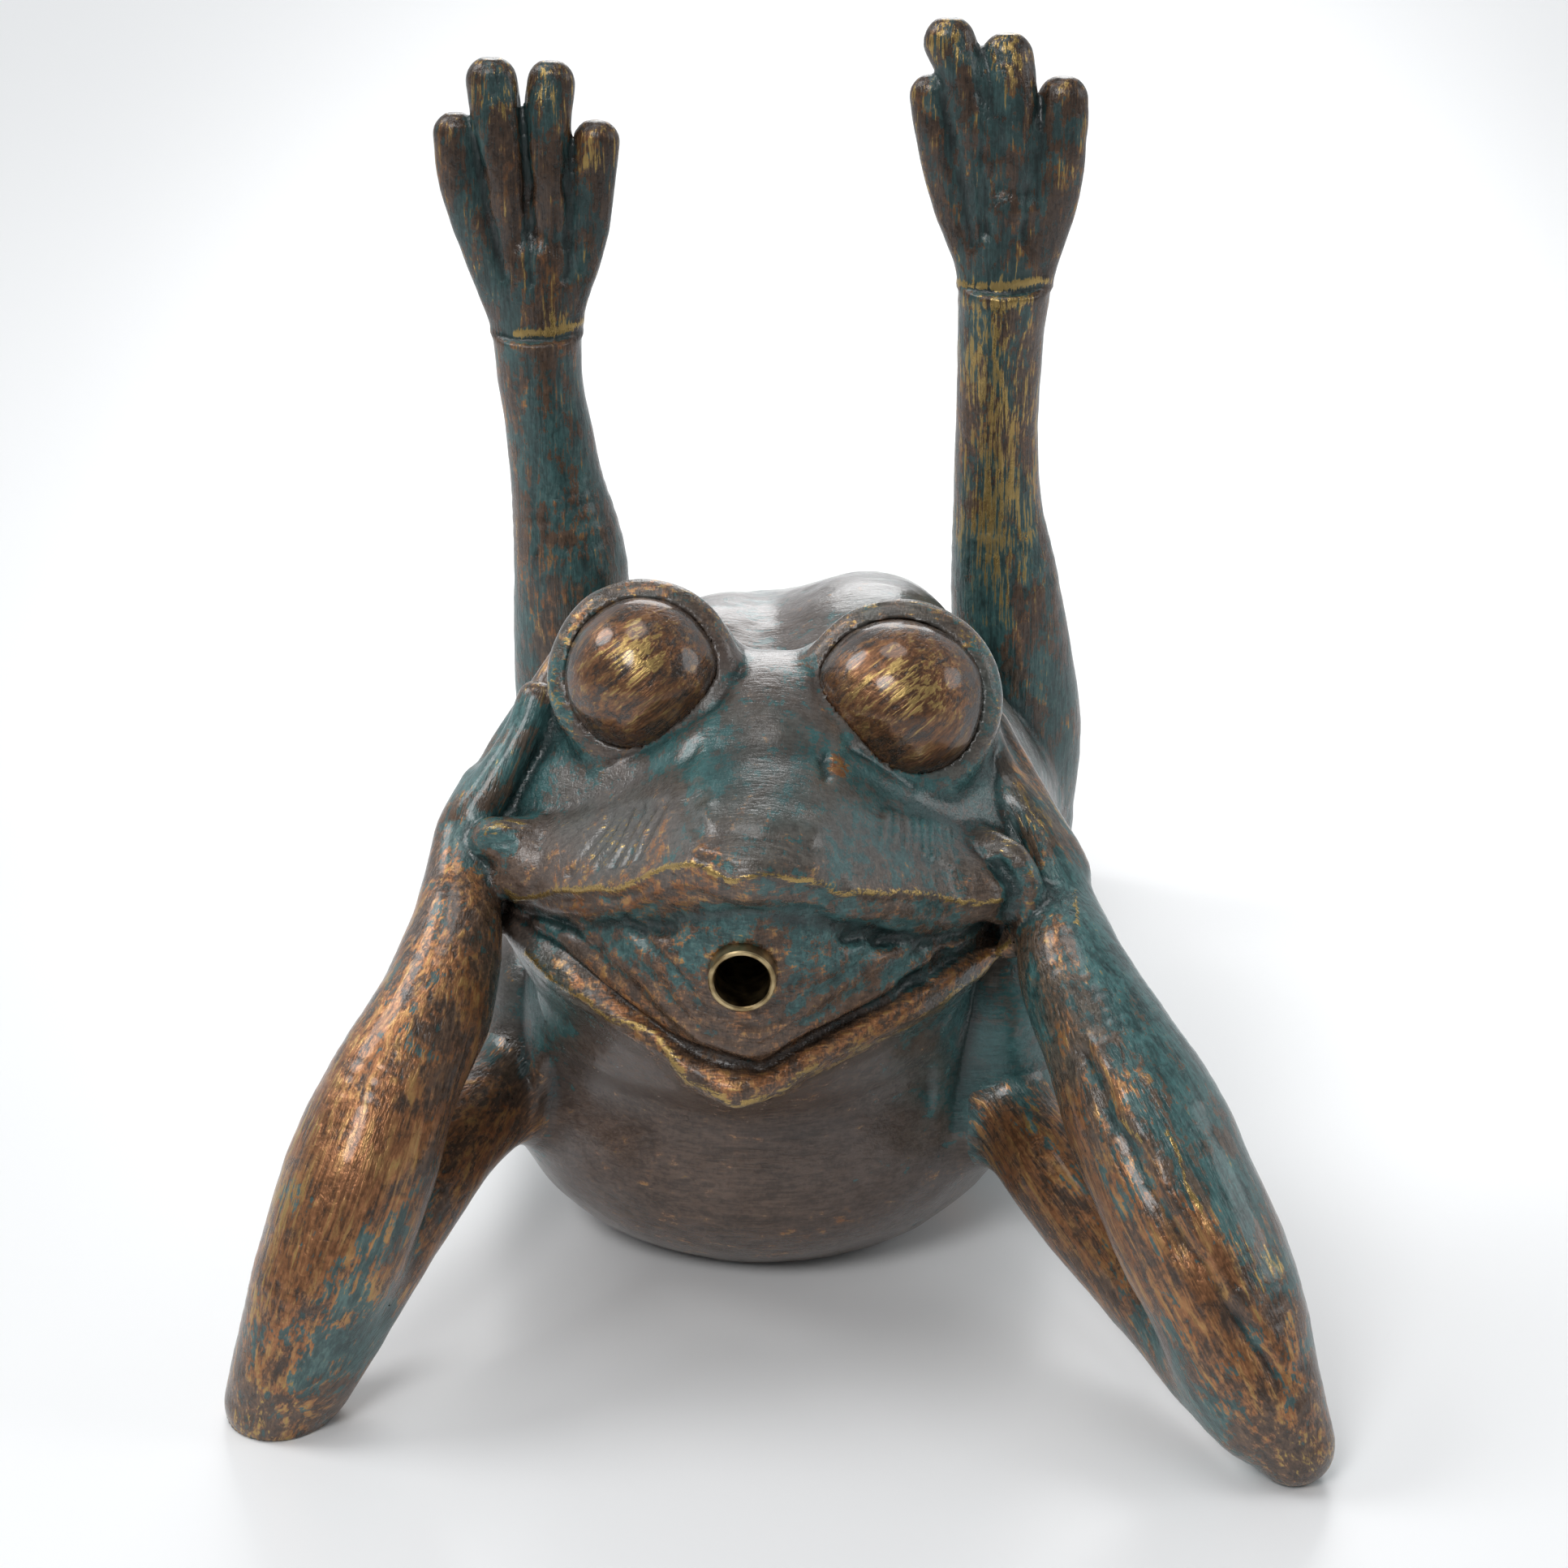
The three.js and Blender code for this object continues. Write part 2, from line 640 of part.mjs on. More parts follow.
// The bulge behind an eye and the raised ring of its lid
function eyeSocket(side, grow) {
  const centre = eyeCentre(side);
  const look = THREE.MathUtils.degToRad(EYE_LOOK_UP);
  const back = vec(0, Math.cos(look), -Math.sin(look));
  const radius = EYE_DIAMETER / 2;
  const bulge = centre.clone().addScaledVector(back, SOCKET_SETBACK);
  const ring = new THREE.TorusGeometry(radius + EYE_RIM_GAP, EYE_RIM / 2 + grow, 6, 18);
  ring.applyQuaternion(new THREE.Quaternion().setFromUnitVectors(vec(0, 0, 1), back));
  ring.translate(centre.x, centre.y, centre.z);
  return roundBall(bulge, radius + SOCKET_MARGIN + grow).add(solid(ring));
}

function headOuter(grow) {
  return union([faceForms(grow), eyeSocket(RIGHT, grow), eyeSocket(LEFT, grow)]);
}

const headSkin = headOuter(0);
const headKeepOut = headOuter(SEAM);

function alongSpout(fromY, toY, diameter) {
  return bar(vec(0, fromY, spoutZ), vec(0, toY, spoutZ), diameter, 24);
}

function head() {
  const pockets = [RIGHT, LEFT].map((side) => eyeCentre(side));
  const backing = union(pockets.map((at) => roundBall(at, EYE_DIAMETER / 2 + CASTING_WALL)));
  const cavity = headHollow().subtract(backing);
  const eyeHoles = union(pockets.map((at) => roundBall(at, EYE_DIAMETER / 2 + SEAM)));
  return headSkin
    .subtract(cavity)
    .subtract(hosePassage())
    .subtract(eyeHoles)
    .subtract(alongSpout(spoutTipY - SPOUT_LENGTH, spoutRearY, SPOUT_DIAMETER + 2 * SEAM))
    .subtract(torsoKeepOut);
}

function eye(side) {
  return roundBall(eyeCentre(side), EYE_DIAMETER / 2, 18, 10);
}

// Arms

function elbow(side) {
  return vec(
    ELBOW_SWAY + (side * ELBOW_SPREAD) / 2,
    CHEST_SETBACK - ELBOW_REACH - (side * ELBOW_STAGGER) / 2,
    ELBOW_WIDTH / 2 - ELBOW_SINK,
  );
}

function wrist(side) {
  return onHead(side * (HEAD_WIDTH / 2 + WRIST_OUT), cornerY - WRIST_AHEAD, LIP_HEIGHT - WRIST_DROP);
}

function fingerRoot(side) {
  const lean = THREE.MathUtils.degToRad(PALM_LEAN);
  return wrist(side).addScaledVector(vec(0, Math.sin(lean), Math.cos(lean)), PALM_LENGTH);
}

function shoulder(side) {
  return vec((side * SHOULDER_SPACING) / 2, CHEST_SETBACK + SHOULDER_SETBACK, SHOULDER_HEIGHT);
}

function bowed(side, share) {
  const bow = FOREARM_BOW * Math.sin(Math.PI * share);
  return elbow(side).lerp(wrist(side), share).add(vec(0, -bow, 0));
}

// A limb's key with a round section
function roundKey(at, width) {
  return { at, across: width / 2, deep: width / 2 };
}

function fingers(side, grow) {
  const root = fingerRoot(side);
  const half = { across: FINGER_THICKNESS / 2, deep: FINGER_WIDTH / 2 };
  return FINGER_LEANS.map(THREE.MathUtils.degToRad).map((lean) => {
    const way = vec(-side * FINGER_INWARD, Math.sin(lean), Math.cos(lean));
    const tip = root.clone().addScaledVector(way, FINGER_LENGTH);
    const keys = [
      { at: root, ...half },
      { at: root.clone().lerp(tip, 0.5), ...half },
      roundKey(tip, FINGER_THICKNESS),
    ];
    return limb(keys, { columns: 8, steps: 2, grow });
  });
}

function forearmForm(side, grow) {
  const arm = limb(
    [
      roundKey(elbow(side), ELBOW_WIDTH),
      roundKey(bowed(side, FOREARM_PLACES[0]), FOREARM_WIDTH),
      roundKey(bowed(side, FOREARM_PLACES[1]), FOREARM_UPPER_WIDTH),
      roundKey(wrist(side), WRIST_WIDTH),
      { at: fingerRoot(side), across: FINGER_THICKNESS / 2, deep: FINGER_WIDTH / 2 },
    ],
    { grow },
  );
  return union([arm, ...fingers(side, grow)]);
}

function armBend(side) {
  const bow = side === LEFT ? LEFT_ARM_BOW : RIGHT_ARM_BOW;
  return shoulder(side).lerp(elbow(side), 0.5).add(vec(0, 0, bow));
}

function upperArmForm(side) {
  return limb([
    roundKey(shoulder(side), UPPER_ARM_WIDTH),
    roundKey(armBend(side), UPPER_ARM_WIDTH),
    roundKey(elbow(side), UPPER_ARM_END_WIDTH),
  ]);
}

function centredBar(centre, direction, length, diameter) {
  const half = direction.clone().normalize().multiplyScalar(length / 2);
  return bar(centre.clone().sub(half), centre.clone().add(half), diameter, 12);
}

function shoulderDowel(side, clearance) {
  const direction = armBend(side).sub(shoulder(side));
  const centre = torsoExit(shoulder(side), armBend(side));
  const { diameter, length } = SHOULDER_DOWEL;
  return centredBar(centre, direction, length + 2 * clearance, diameter + 2 * clearance);
}

function elbowPin(side, clearance) {
  const share = ELBOW_PIN_SHARE;
  const fromArm = bowed(side, share);
  const toArm = elbow(side).lerp(shoulder(side), share);
  const centre = fromArm.clone().lerp(toArm, 0.5);
  const direction = toArm.sub(fromArm);
  const length = direction.length();
  return centredBar(centre, direction, length + 2 * clearance, ELBOW_PIN_DIAMETER + 2 * clearance);
}

function forearm(side) {
  return forearmForm(side, 0)
    .intersect(above(0))
    .subtract(headKeepOut)
    .subtract(torsoKeepOut)
    .subtract(elbowPin(side, SEAM));
}

function upperArm(side) {
  return upperArmForm(side)
    .intersect(above(0))
    .subtract(torsoKeepOut)
    .subtract(headKeepOut)
    .subtract(forearmForm(side, SEAM))
    .subtract(shoulderDowel(side, SEAM))
    .subtract(elbowPin(side, SEAM));
}

// Legs and feet

function hip(side) {
  return vec((side * HIP_SPACING) / 2, CHEST_SETBACK + HIP_SETBACK, HIP_HEIGHT);
}

function knee(side) {
  return vec((side * KNEE_SPACING) / 2, CHEST_SETBACK + KNEE_SETBACK, KNEE_HEIGHT);
}

function ankle(side) {
  const height = side === LEFT ? LEFT_ANKLE_HEIGHT : RIGHT_ANKLE_HEIGHT;
  const out = side === LEFT ? LEFT_ANKLE_OUT : RIGHT_ANKLE_OUT;
  return vec(side * out, CHEST_SETBACK + KNEE_SETBACK - ANKLE_AHEAD, height);
}

function thighForm(side, grow) {
  const middle = hip(side).lerp(knee(side), 0.5);
  return limb(
    [
      roundKey(hip(side), THIGH_WIDTH),
      roundKey(middle, THIGH_MIDDLE_WIDTH),
      roundKey(knee(side), KNEE_WIDTH),
    ],
    { columns: 16, grow },
  );
}

// A point of the leg at a height, in front of the line from knee to ankle
function besideLeg(side, out, height) {
  const straight = knee(side).lerp(ankle(side), height / ankle(side).z);
  return vec(side * out, straight.y - CALF_AHEAD, height);
}

function shinForm(side) {
  const shinOut = side === LEFT ? LEFT_SHIN_OUT : RIGHT_SHIN_OUT;
  const calfOut = side === LEFT ? LEFT_CALF_OUT : RIGHT_CALF_OUT;
  const calf = besideLeg(side, calfOut, CALF_HEIGHT);
  return limb([
    roundKey(knee(side), SHIN_WIDTH),
    roundKey(besideLeg(side, shinOut, SHIN_HEIGHT), SHIN_WIDTH),
    roundKey(calf, CALF_WIDTH),
    roundKey(calf.clone().lerp(ankle(side), 0.5), LOWER_SHIN_WIDTH),
    roundKey(ankle(side), ANKLE_WIDTH),
  ]);
}

// A toe spreads near its root and then runs straight up to its tip.
function toe(side, lean, length) {
  const root = ankle(side);
  const reach = length * Math.sin(lean);
  const rise = length * Math.cos(lean);
  const tip = root.clone().add(vec(reach, TOE_CURL, rise));
  const bow = TOE_CURL * TOE_KNUCKLE.up - TOE_BOW;
  const middle = root.clone().add(vec(reach * TOE_KNUCKLE.out, bow, rise * TOE_KNUCKLE.up));
  return limb(
    [
      { at: root, across: TOE_WIDTH / 2, deep: SOLE_THICKNESS / 2 },
      { at: middle, across: TOE_WIDTH / 2, deep: SOLE_THICKNESS / 2 },
      { at: tip, across: TOE_WIDTH / 2, deep: TOE_THICKNESS / 2 },
    ],
    { columns: 8, steps: 2 },
  );
}

function footForm(side) {
  const fan = THREE.MathUtils.degToRad(TOE_FAN);
  const twist = side === LEFT ? THREE.MathUtils.degToRad(LEFT_FOOT_TWIST) : 0;
  const lengths = [OUTER_TOE_LENGTH, TOE_LENGTH, TOE_LENGTH, OUTER_TOE_LENGTH];
  const toes = lengths.map((length, i) => toe(side, TOE_LEANS[i] * fan + twist, length));
  const heel = ankle(side);
  const front = heel.clone().add(vec(0, 0, SOLE_LENGTH));
  const arch = heel.clone().lerp(front, 0.5);
  const sole = limb([
    roundKey(heel, ANKLE_WIDTH),
    { at: arch, across: ARCH.width / 2, deep: ARCH.thickness / 2 },
    { at: front, across: FOOT_BALL.width / 2, deep: FOOT_BALL.thickness / 2 },
  ]);
  return union([sole, ...toes]);
}

function hipDowel(side, clearance) {
  const direction = knee(side).sub(hip(side));
  const { diameter, length } = HIP_DOWEL;
  const centre = torsoExit(hip(side), knee(side));
  return centredBar(centre, direction, length + 2 * clearance, diameter + 2 * clearance);
}

function legRod(side, clearance) {
  const direction = ankle(side).sub(knee(side)).normalize();
  const from = knee(side).addScaledVector(direction, -clearance);
  const to = ankle(side).addScaledVector(direction, LEG_ROD_GRIP + clearance);
  return bar(from, to, LEG_ROD_DIAMETER + 2 * clearance, 12);
}

function thigh(side) {
  return thighForm(side, 0)
    .intersect(above(0))
    .subtract(torsoKeepOut)
    .subtract(hipDowel(side, SEAM))
    .subtract(legRod(side, SEAM));
}

function shin(side) {
  return shinForm(side)
    .intersect(below(ankle(side).z))
    .subtract(thighForm(side, SEAM))
    .subtract(torsoKeepOut)
    .subtract(legRod(side, SEAM));
}

function foot(side) {
  return footForm(side)
    .intersect(above(ankle(side).z + SEAM))
    .subtract(legRod(side, SEAM));
}

// Water way

function ringAlongY(outer, inner, fromY, thickness, height, facets) {
  const profilePoints = [
    [inner, 0],
    [outer, 0],
    [outer, thickness],
    [inner, thickness],
    [inner, 0],
  ].map(([diameter, y]) => new THREE.Vector2(diameter / 2, y));
  const geometry = new THREE.LatheGeometry(profilePoints, facets);
  geometry.translate(0, fromY, height);
  return solid(geometry);
}

function spoutTube() {
  const bore = SPOUT_DIAMETER - 2 * SPOUT_WALL;
  return ringAlongY(SPOUT_DIAMETER, bore, spoutTipY, SPOUT_LENGTH, spoutZ, 24);
}

function hoseRoute() {
  const grip = vec(0, HOSE_GRIP, 0);
  const points = [spoutEnd.clone().sub(grip), ...hoseBend(), inletEnd.clone().add(grip)];
  return new THREE.CatmullRomCurve3(points, false, "centripetal");
}

function supplyHose() {
  const shape = new THREE.Shape();
  shape.absarc(0, 0, hoseDiameter / 2, 0, 2 * Math.PI);
  const bore = new THREE.Path();
  bore.absarc(0, 0, hoseBore / 2 + SEAM / 2, 0, 2 * Math.PI, true);
  shape.holes.push(bore);
  const options = { steps: 22, curveSegments: 6, extrudePath: hoseRoute() };
  return solid(new THREE.ExtrudeGeometry(shape, options));
}

// A band with a crimped ear, round the hose
function hoseClamp(middleY, height) {
  const inner = hoseDiameter / 2 + SEAM;
  const outer = inner + CLAMP_THICKNESS;
  const opening = Math.asin(CLAMP_EAR / 2 / outer);
  const shape = new THREE.Shape();
  shape.absarc(0, 0, outer, Math.PI / 2 + opening, Math.PI / 2 - opening + 2 * Math.PI);
  shape.lineTo(CLAMP_EAR / 2, outer + CLAMP_EAR / 2);
  shape.lineTo(-CLAMP_EAR / 2, outer + CLAMP_EAR / 2);
  const hole = new THREE.Path();
  hole.absarc(0, 0, inner, 0, 2 * Math.PI, true);
  shape.holes.push(hole);
  const options = { depth: CLAMP_WIDTH, bevelEnabled: false, curveSegments: 10 };
  const geometry = new THREE.ExtrudeGeometry(shape, options);
  geometry.rotateX(Math.PI / 2);
  geometry.translate(0, middleY + CLAMP_WIDTH / 2, height);
  return solid(geometry);
}

function inletTail() {
  const stub = SPOUT_DIAMETER / 2;
  const bore = INLET_BORE / 2;
  const shank = INLET_SHANK / 2;
  const shankFrom = inletPadY - SEAM - NUT_THICKNESS;
  const flangeFrom = inletSeatY + SEAM + SEAL_THICKNESS + SEAM;
  const flangeTo = flangeFrom + INLET_FLANGE.thickness;
  const barbStep = INLET_BARB.length / (INLET_BARB.rings + 1);
  const slope = barbStep * INLET_BARB.slope;
  const barb = INLET_BARB.diameter / 2;
  const outline = [
    [bore, stubTipY],
    [stub, stubTipY],
    [stub, shankFrom],
    [shank, shankFrom],
    [shank, flangeFrom],
    [INLET_FLANGE.diameter / 2, flangeFrom],
    [INLET_FLANGE.diameter / 2, flangeTo],
    [barb - INLET_BARB.depth, flangeTo],
  ];
  for (let i = 1; i <= INLET_BARB.rings; i += 1) {
    const ridge = flangeTo + i * barbStep;
    outline.push([barb, ridge], [barb - INLET_BARB.depth, ridge + slope]);
  }
  outline.push([bore, flangeTo + INLET_BARB.length + slope], [bore, stubTipY]);
  const points = outline.map(([radius, y]) => new THREE.Vector2(radius, y));
  const geometry = new THREE.LatheGeometry(points, 16);
  geometry.translate(0, 0, INLET_HEIGHT);
  return solid(geometry);
}

function inletNut() {
  const shape = new THREE.Shape();
  for (let i = 0; i < 6; i += 1) {
    const angle = (Math.PI * i) / 3;
    const corner = [(NUT_WIDTH / 2) * Math.cos(angle), (NUT_WIDTH / 2) * Math.sin(angle)];
    if (i === 0) shape.moveTo(...corner);
    else shape.lineTo(...corner);
  }
  const hole = new THREE.Path();
  hole.absarc(0, 0, INLET_SHANK / 2 + SEAM, 0, 2 * Math.PI, true);
  shape.holes.push(hole);
  const options = { depth: NUT_THICKNESS, bevelEnabled: false, curveSegments: 10 };
  const geometry = new THREE.ExtrudeGeometry(shape, options);
  geometry.rotateX(Math.PI / 2);
  geometry.translate(0, inletPadY - SEAM, INLET_HEIGHT);
  return solid(geometry);
}

function inletSeal() {
  const outer = INLET_FLANGE.diameter;
  const inner = INLET_SHANK + 2 * SEAM;
  return ringAlongY(outer, inner, inletSeatY + SEAM, SEAL_THICKNESS, INLET_HEIGHT, 20);
}

function bellyPlug() {
  return ovalBlock(PLUG_WIDTH, PLUG_LENGTH, PLUG_RECESS, plugTop);
}

// Finishes

function finish(color, roughness, metalness) {
  return new THREE.MeshStandardMaterial({ color, roughness, metalness });
}

const bodyBronze = finish(0x6a5a4c, 0.4, 0.35);
const limbVerdigris = finish(0x3c5a58, 0.4, 0.35);
const footVerdigris = finish(0x2f5b60, 0.42, 0.35);
const eyeBronze = finish(0x7d6236, 0.3, 0.5);
const brass = finish(0xb08d45, 0.28, 1);
const steel = finish(0xa9adb0, 0.35, 1);
const clearHose = finish(0xb9c2c0, 0.35, 0);
const blackRubber = finish(0x1c1c1c, 0.8, 0);
const rawResin = finish(0x55504a, 0.7, 0);

// Assembly

const frog = new THREE.Group();

function add(name, body, material) {
  const mesh = new THREE.Mesh(geometryOf(body), material);
  mesh.name = name;
  frog.add(mesh);
}

add("torso", torso(), bodyBronze);
add("head", head(), bodyBronze);
add("belly_plug", bellyPlug(), rawResin);

for (const [word, side] of [
  ["right", RIGHT],
  ["left", LEFT],
]) {
  add(`${word}_eye`, eye(side), eyeBronze);
  add(`${word}_forearm`, forearm(side), limbVerdigris);
  add(`${word}_upper_arm`, upperArm(side), limbVerdigris);
  add(`${word}_thigh`, thigh(side), bodyBronze);
  add(`${word}_shin`, shin(side), limbVerdigris);
  add(`${word}_foot`, foot(side), footVerdigris);
  add(`${word}_shoulder_dowel`, shoulderDowel(side, 0), steel);
  add(`${word}_elbow_pin`, elbowPin(side, 0), steel);
  add(`${word}_hip_dowel`, hipDowel(side, 0), steel);
  add(`${word}_leg_rod`, legRod(side, 0), steel);
}

add("spout_tube", spoutTube(), brass);
add("supply_hose", supplyHose(), clearHose);
add("spout_hose_clamp", hoseClamp(spoutRearY - HOSE_GRIP / 2, spoutZ), steel);
add("inlet_hose_clamp", hoseClamp(stubTipY + HOSE_GRIP / 2, INLET_HEIGHT), steel);
add("inlet_tail", inletTail(), brass);
add("inlet_nut", inletNut(), brass);
add("inlet_seal", inletSeal(), blackRubber);

// The frame's zero is the middle of the footprint, on the floor.
const extent = new THREE.Box3().setFromObject(frog);
const middle = extent.getCenter(vec(0, 0, 0));
frog.position.set(-middle.x, -middle.y, -extent.min.z);

export default frog;
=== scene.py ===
"""Looks of a cast garden frog that lies on its belly, rests its chin on its hands and spits water.

The castings are sculpted as one smooth surface, in millimetres, in a frame whose zero lies on the
floor under the spout's axis. The surface is then split into the castings along their seams.
"""

import json
import math
from dataclasses import dataclass
from typing import Callable

import bmesh
import bpy
import numpy as np
from mathutils import Matrix, Vector


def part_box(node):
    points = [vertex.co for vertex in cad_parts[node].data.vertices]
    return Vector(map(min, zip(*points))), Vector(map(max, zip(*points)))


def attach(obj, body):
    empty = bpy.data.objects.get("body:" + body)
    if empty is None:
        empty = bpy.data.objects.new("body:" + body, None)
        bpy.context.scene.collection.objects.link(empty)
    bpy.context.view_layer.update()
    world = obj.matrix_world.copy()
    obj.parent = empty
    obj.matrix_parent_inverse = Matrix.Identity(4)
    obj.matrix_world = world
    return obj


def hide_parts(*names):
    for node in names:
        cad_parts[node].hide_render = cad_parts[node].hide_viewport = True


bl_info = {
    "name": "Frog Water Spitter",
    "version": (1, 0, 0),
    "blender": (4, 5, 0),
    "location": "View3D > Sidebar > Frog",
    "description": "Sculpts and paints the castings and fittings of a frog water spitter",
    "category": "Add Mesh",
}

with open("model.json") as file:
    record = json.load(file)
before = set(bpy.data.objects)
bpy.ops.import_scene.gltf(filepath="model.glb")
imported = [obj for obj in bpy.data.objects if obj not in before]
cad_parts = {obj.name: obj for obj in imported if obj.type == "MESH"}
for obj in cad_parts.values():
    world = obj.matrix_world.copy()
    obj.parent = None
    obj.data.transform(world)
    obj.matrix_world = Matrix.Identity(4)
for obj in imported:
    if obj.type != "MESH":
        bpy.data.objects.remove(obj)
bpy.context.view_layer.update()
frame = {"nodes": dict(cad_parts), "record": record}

MM = 0.001
SPOUT_TIP_Y = -12.0
SPOUT_HEIGHT = 85.5
SPOUT_RADIUS = 6.0
SPOUT_BORE_RADIUS = 5.0
INLET_HEIGHT = 34.0
INLET_SEAT_Y = 202.0

spout_low, spout_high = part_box("spout_tube")
ORIGIN = np.array([(spout_low.x + spout_high.x) / 2, spout_low.y - SPOUT_TIP_Y * MM, 0.0])

# The photograph's camera, in the sculpting frame
PHOTO_PIXELS = 1932
FOCAL_PIXELS = 4630.0
SENSOR_MM = 36.0
CAMERA_RISE = math.radians(24.0)
CAMERA_TURN = math.radians(2.6)
CAMERA_DISTANCE = 690.0
CAMERA_TARGET = np.array([5.5, 30.0, 105.0])
CAMERA_BACK = np.array([
    math.sin(CAMERA_TURN) * math.cos(CAMERA_RISE),
    -math.cos(CAMERA_TURN) * math.cos(CAMERA_RISE),
    math.sin(CAMERA_RISE),
])
CAMERA_RIGHT = np.array([math.cos(CAMERA_TURN), math.sin(CAMERA_TURN), 0.0])
CAMERA_UP = np.cross(CAMERA_BACK, CAMERA_RIGHT)
CAMERA_PLACE = CAMERA_TARGET + CAMERA_BACK * CAMERA_DISTANCE


def to_pixels(points):
    """Photo pixels of points, and how many pixels a millimetre measures there."""
    offset = points - CAMERA_PLACE
    pixels_per_mm = FOCAL_PIXELS / -(offset @ CAMERA_BACK)
    across = PHOTO_PIXELS / 2 + (offset @ CAMERA_RIGHT) * pixels_per_mm
    down = PHOTO_PIXELS / 2 - (offset @ CAMERA_UP) * pixels_per_mm
    return np.stack([across, down], -1), pixels_per_mm


def at_pixel(across, down, y):
    """The point at depth y that the photo shows at a pixel."""
    ray = (
        CAMERA_RIGHT * (across - PHOTO_PIXELS / 2)
        - CAMERA_UP * (down - PHOTO_PIXELS / 2)
        - CAMERA_BACK * FOCAL_PIXELS
    )
    return CAMERA_PLACE + ray * (y - CAMERA_PLACE[1]) / ray[1]


# Volumes

FAR_AWAY = 1e3  # a distance that stands for no volume


@dataclass
class Volume:
    """One rounded volume of a casting, and how softly it joins what was sculpted before it."""

    piece: str
    distance: Callable
    low: np.ndarray
    high: np.ndarray
    blend: float


def ball(piece, centre, radii, blend):
    """An ellipsoid with its axes along the frame's."""
    middle = np.array(centre, np.float32)
    size = np.array(radii, np.float32)

    def distance(points):
        unit = (points - middle) / size
        near = np.linalg.norm(unit, axis=-1)
        slope = np.linalg.norm(unit / size, axis=-1)
        return near * (near - 1) / np.maximum(slope, 1e-6)

    return Volume(piece, distance, middle - size, middle + size, blend)


def curve_through(keys, steps):
    """Points on a smooth curve through keys, which may carry a radius as a fourth number."""
    keys = np.array(keys, float)
    ends = np.vstack([2 * keys[0] - keys[1], keys, 2 * keys[-1] - keys[-2]])
    points = [keys[0]]
    for a, b, c, d in zip(ends[:-3], ends[1:-2], ends[2:-1], ends[3:]):
        for t in np.arange(1, steps + 1) / steps:
            bend = (2 * a - 5 * b + 4 * c - d) * t**2
            twist = (3 * b - a - 3 * c + d) * t**3
            points.append(0.5 * (2 * b + (c - a) * t + bend + twist))
    return np.array(points)


def limb(piece, keys, blend, depth=1.0, steps=6):
    """A round limb along a curve through keys of x, y, z and radius, with its depth along y scaled."""
    line = curve_through(keys, steps).astype(np.float32)
    stretch = np.array([1, 1 / depth, 1], np.float32)
    places = line[:, :3] * stretch
    radii = line[:, 3]

    def distance(points):
        scaled = points * stretch
        nearest = np.full(len(points), FAR_AWAY, np.float32)
        for i in range(len(places) - 1):
            along = places[i + 1] - places[i]
            offset = scaled - places[i]
            t = np.clip(offset @ along / max(along @ along, 1e-6), 0, 1)
            gap = np.linalg.norm(offset - t[:, None] * along, axis=-1)
            nearest = np.minimum(nearest, gap - radii[i] - t * (radii[i + 1] - radii[i]))
        return nearest * (1 + depth) / 2

    pad = radii.max()
    return Volume(piece, distance, line[:, :3].min(0) - pad, line[:, :3].max(0) + pad, blend)


def ring(piece, centre, axis, radius, thickness, thin, blend):
    """A round ring with a round section that is thinner on the side of the direction called thin."""
    middle = np.array(centre, np.float32)
    normal = np.array(axis, np.float32) / np.linalg.norm(axis)
    aside = np.array(thin, np.float32)

    def distance(points):
        offset = points - middle
        lift = offset @ normal
        flat = np.sqrt(np.maximum((offset * offset).sum(-1) - lift * lift, 0))
        less = np.clip(offset @ aside / np.maximum(flat, 1), 0, 1) * LID_THINNING
        return np.hypot(flat - radius, lift) - thickness * (1 - less)

    reach = radius + thickness
    return Volume(piece, distance, middle - reach, middle + reach, blend)


def smooth_through(places, values, at):
    """A curve through values that never swings past them."""
    step = np.diff(places)
    slope = np.diff(values) / step
    inner = np.where(
        slope[:-1] * slope[1:] > 0,
        2 * slope[:-1] * slope[1:] / np.where(slope[:-1] + slope[1:] == 0, 1, slope[:-1] + slope[1:]),
        0,
    )
    tangent = np.concatenate([[slope[0]], inner, [slope[-1]]])
    i = np.clip(np.searchsorted(places, at) - 1, 0, len(step) - 1)
    t = np.clip((at - places[i]) / step[i], 0, 1)
    rise = t * t * (3 - 2 * t)
    bend = step[i] * (t * (1 - t) ** 2 * tangent[i] - t * t * (1 - t) * tangent[i + 1])
    return values[i] * (1 - rise) + values[i + 1] * rise + bend


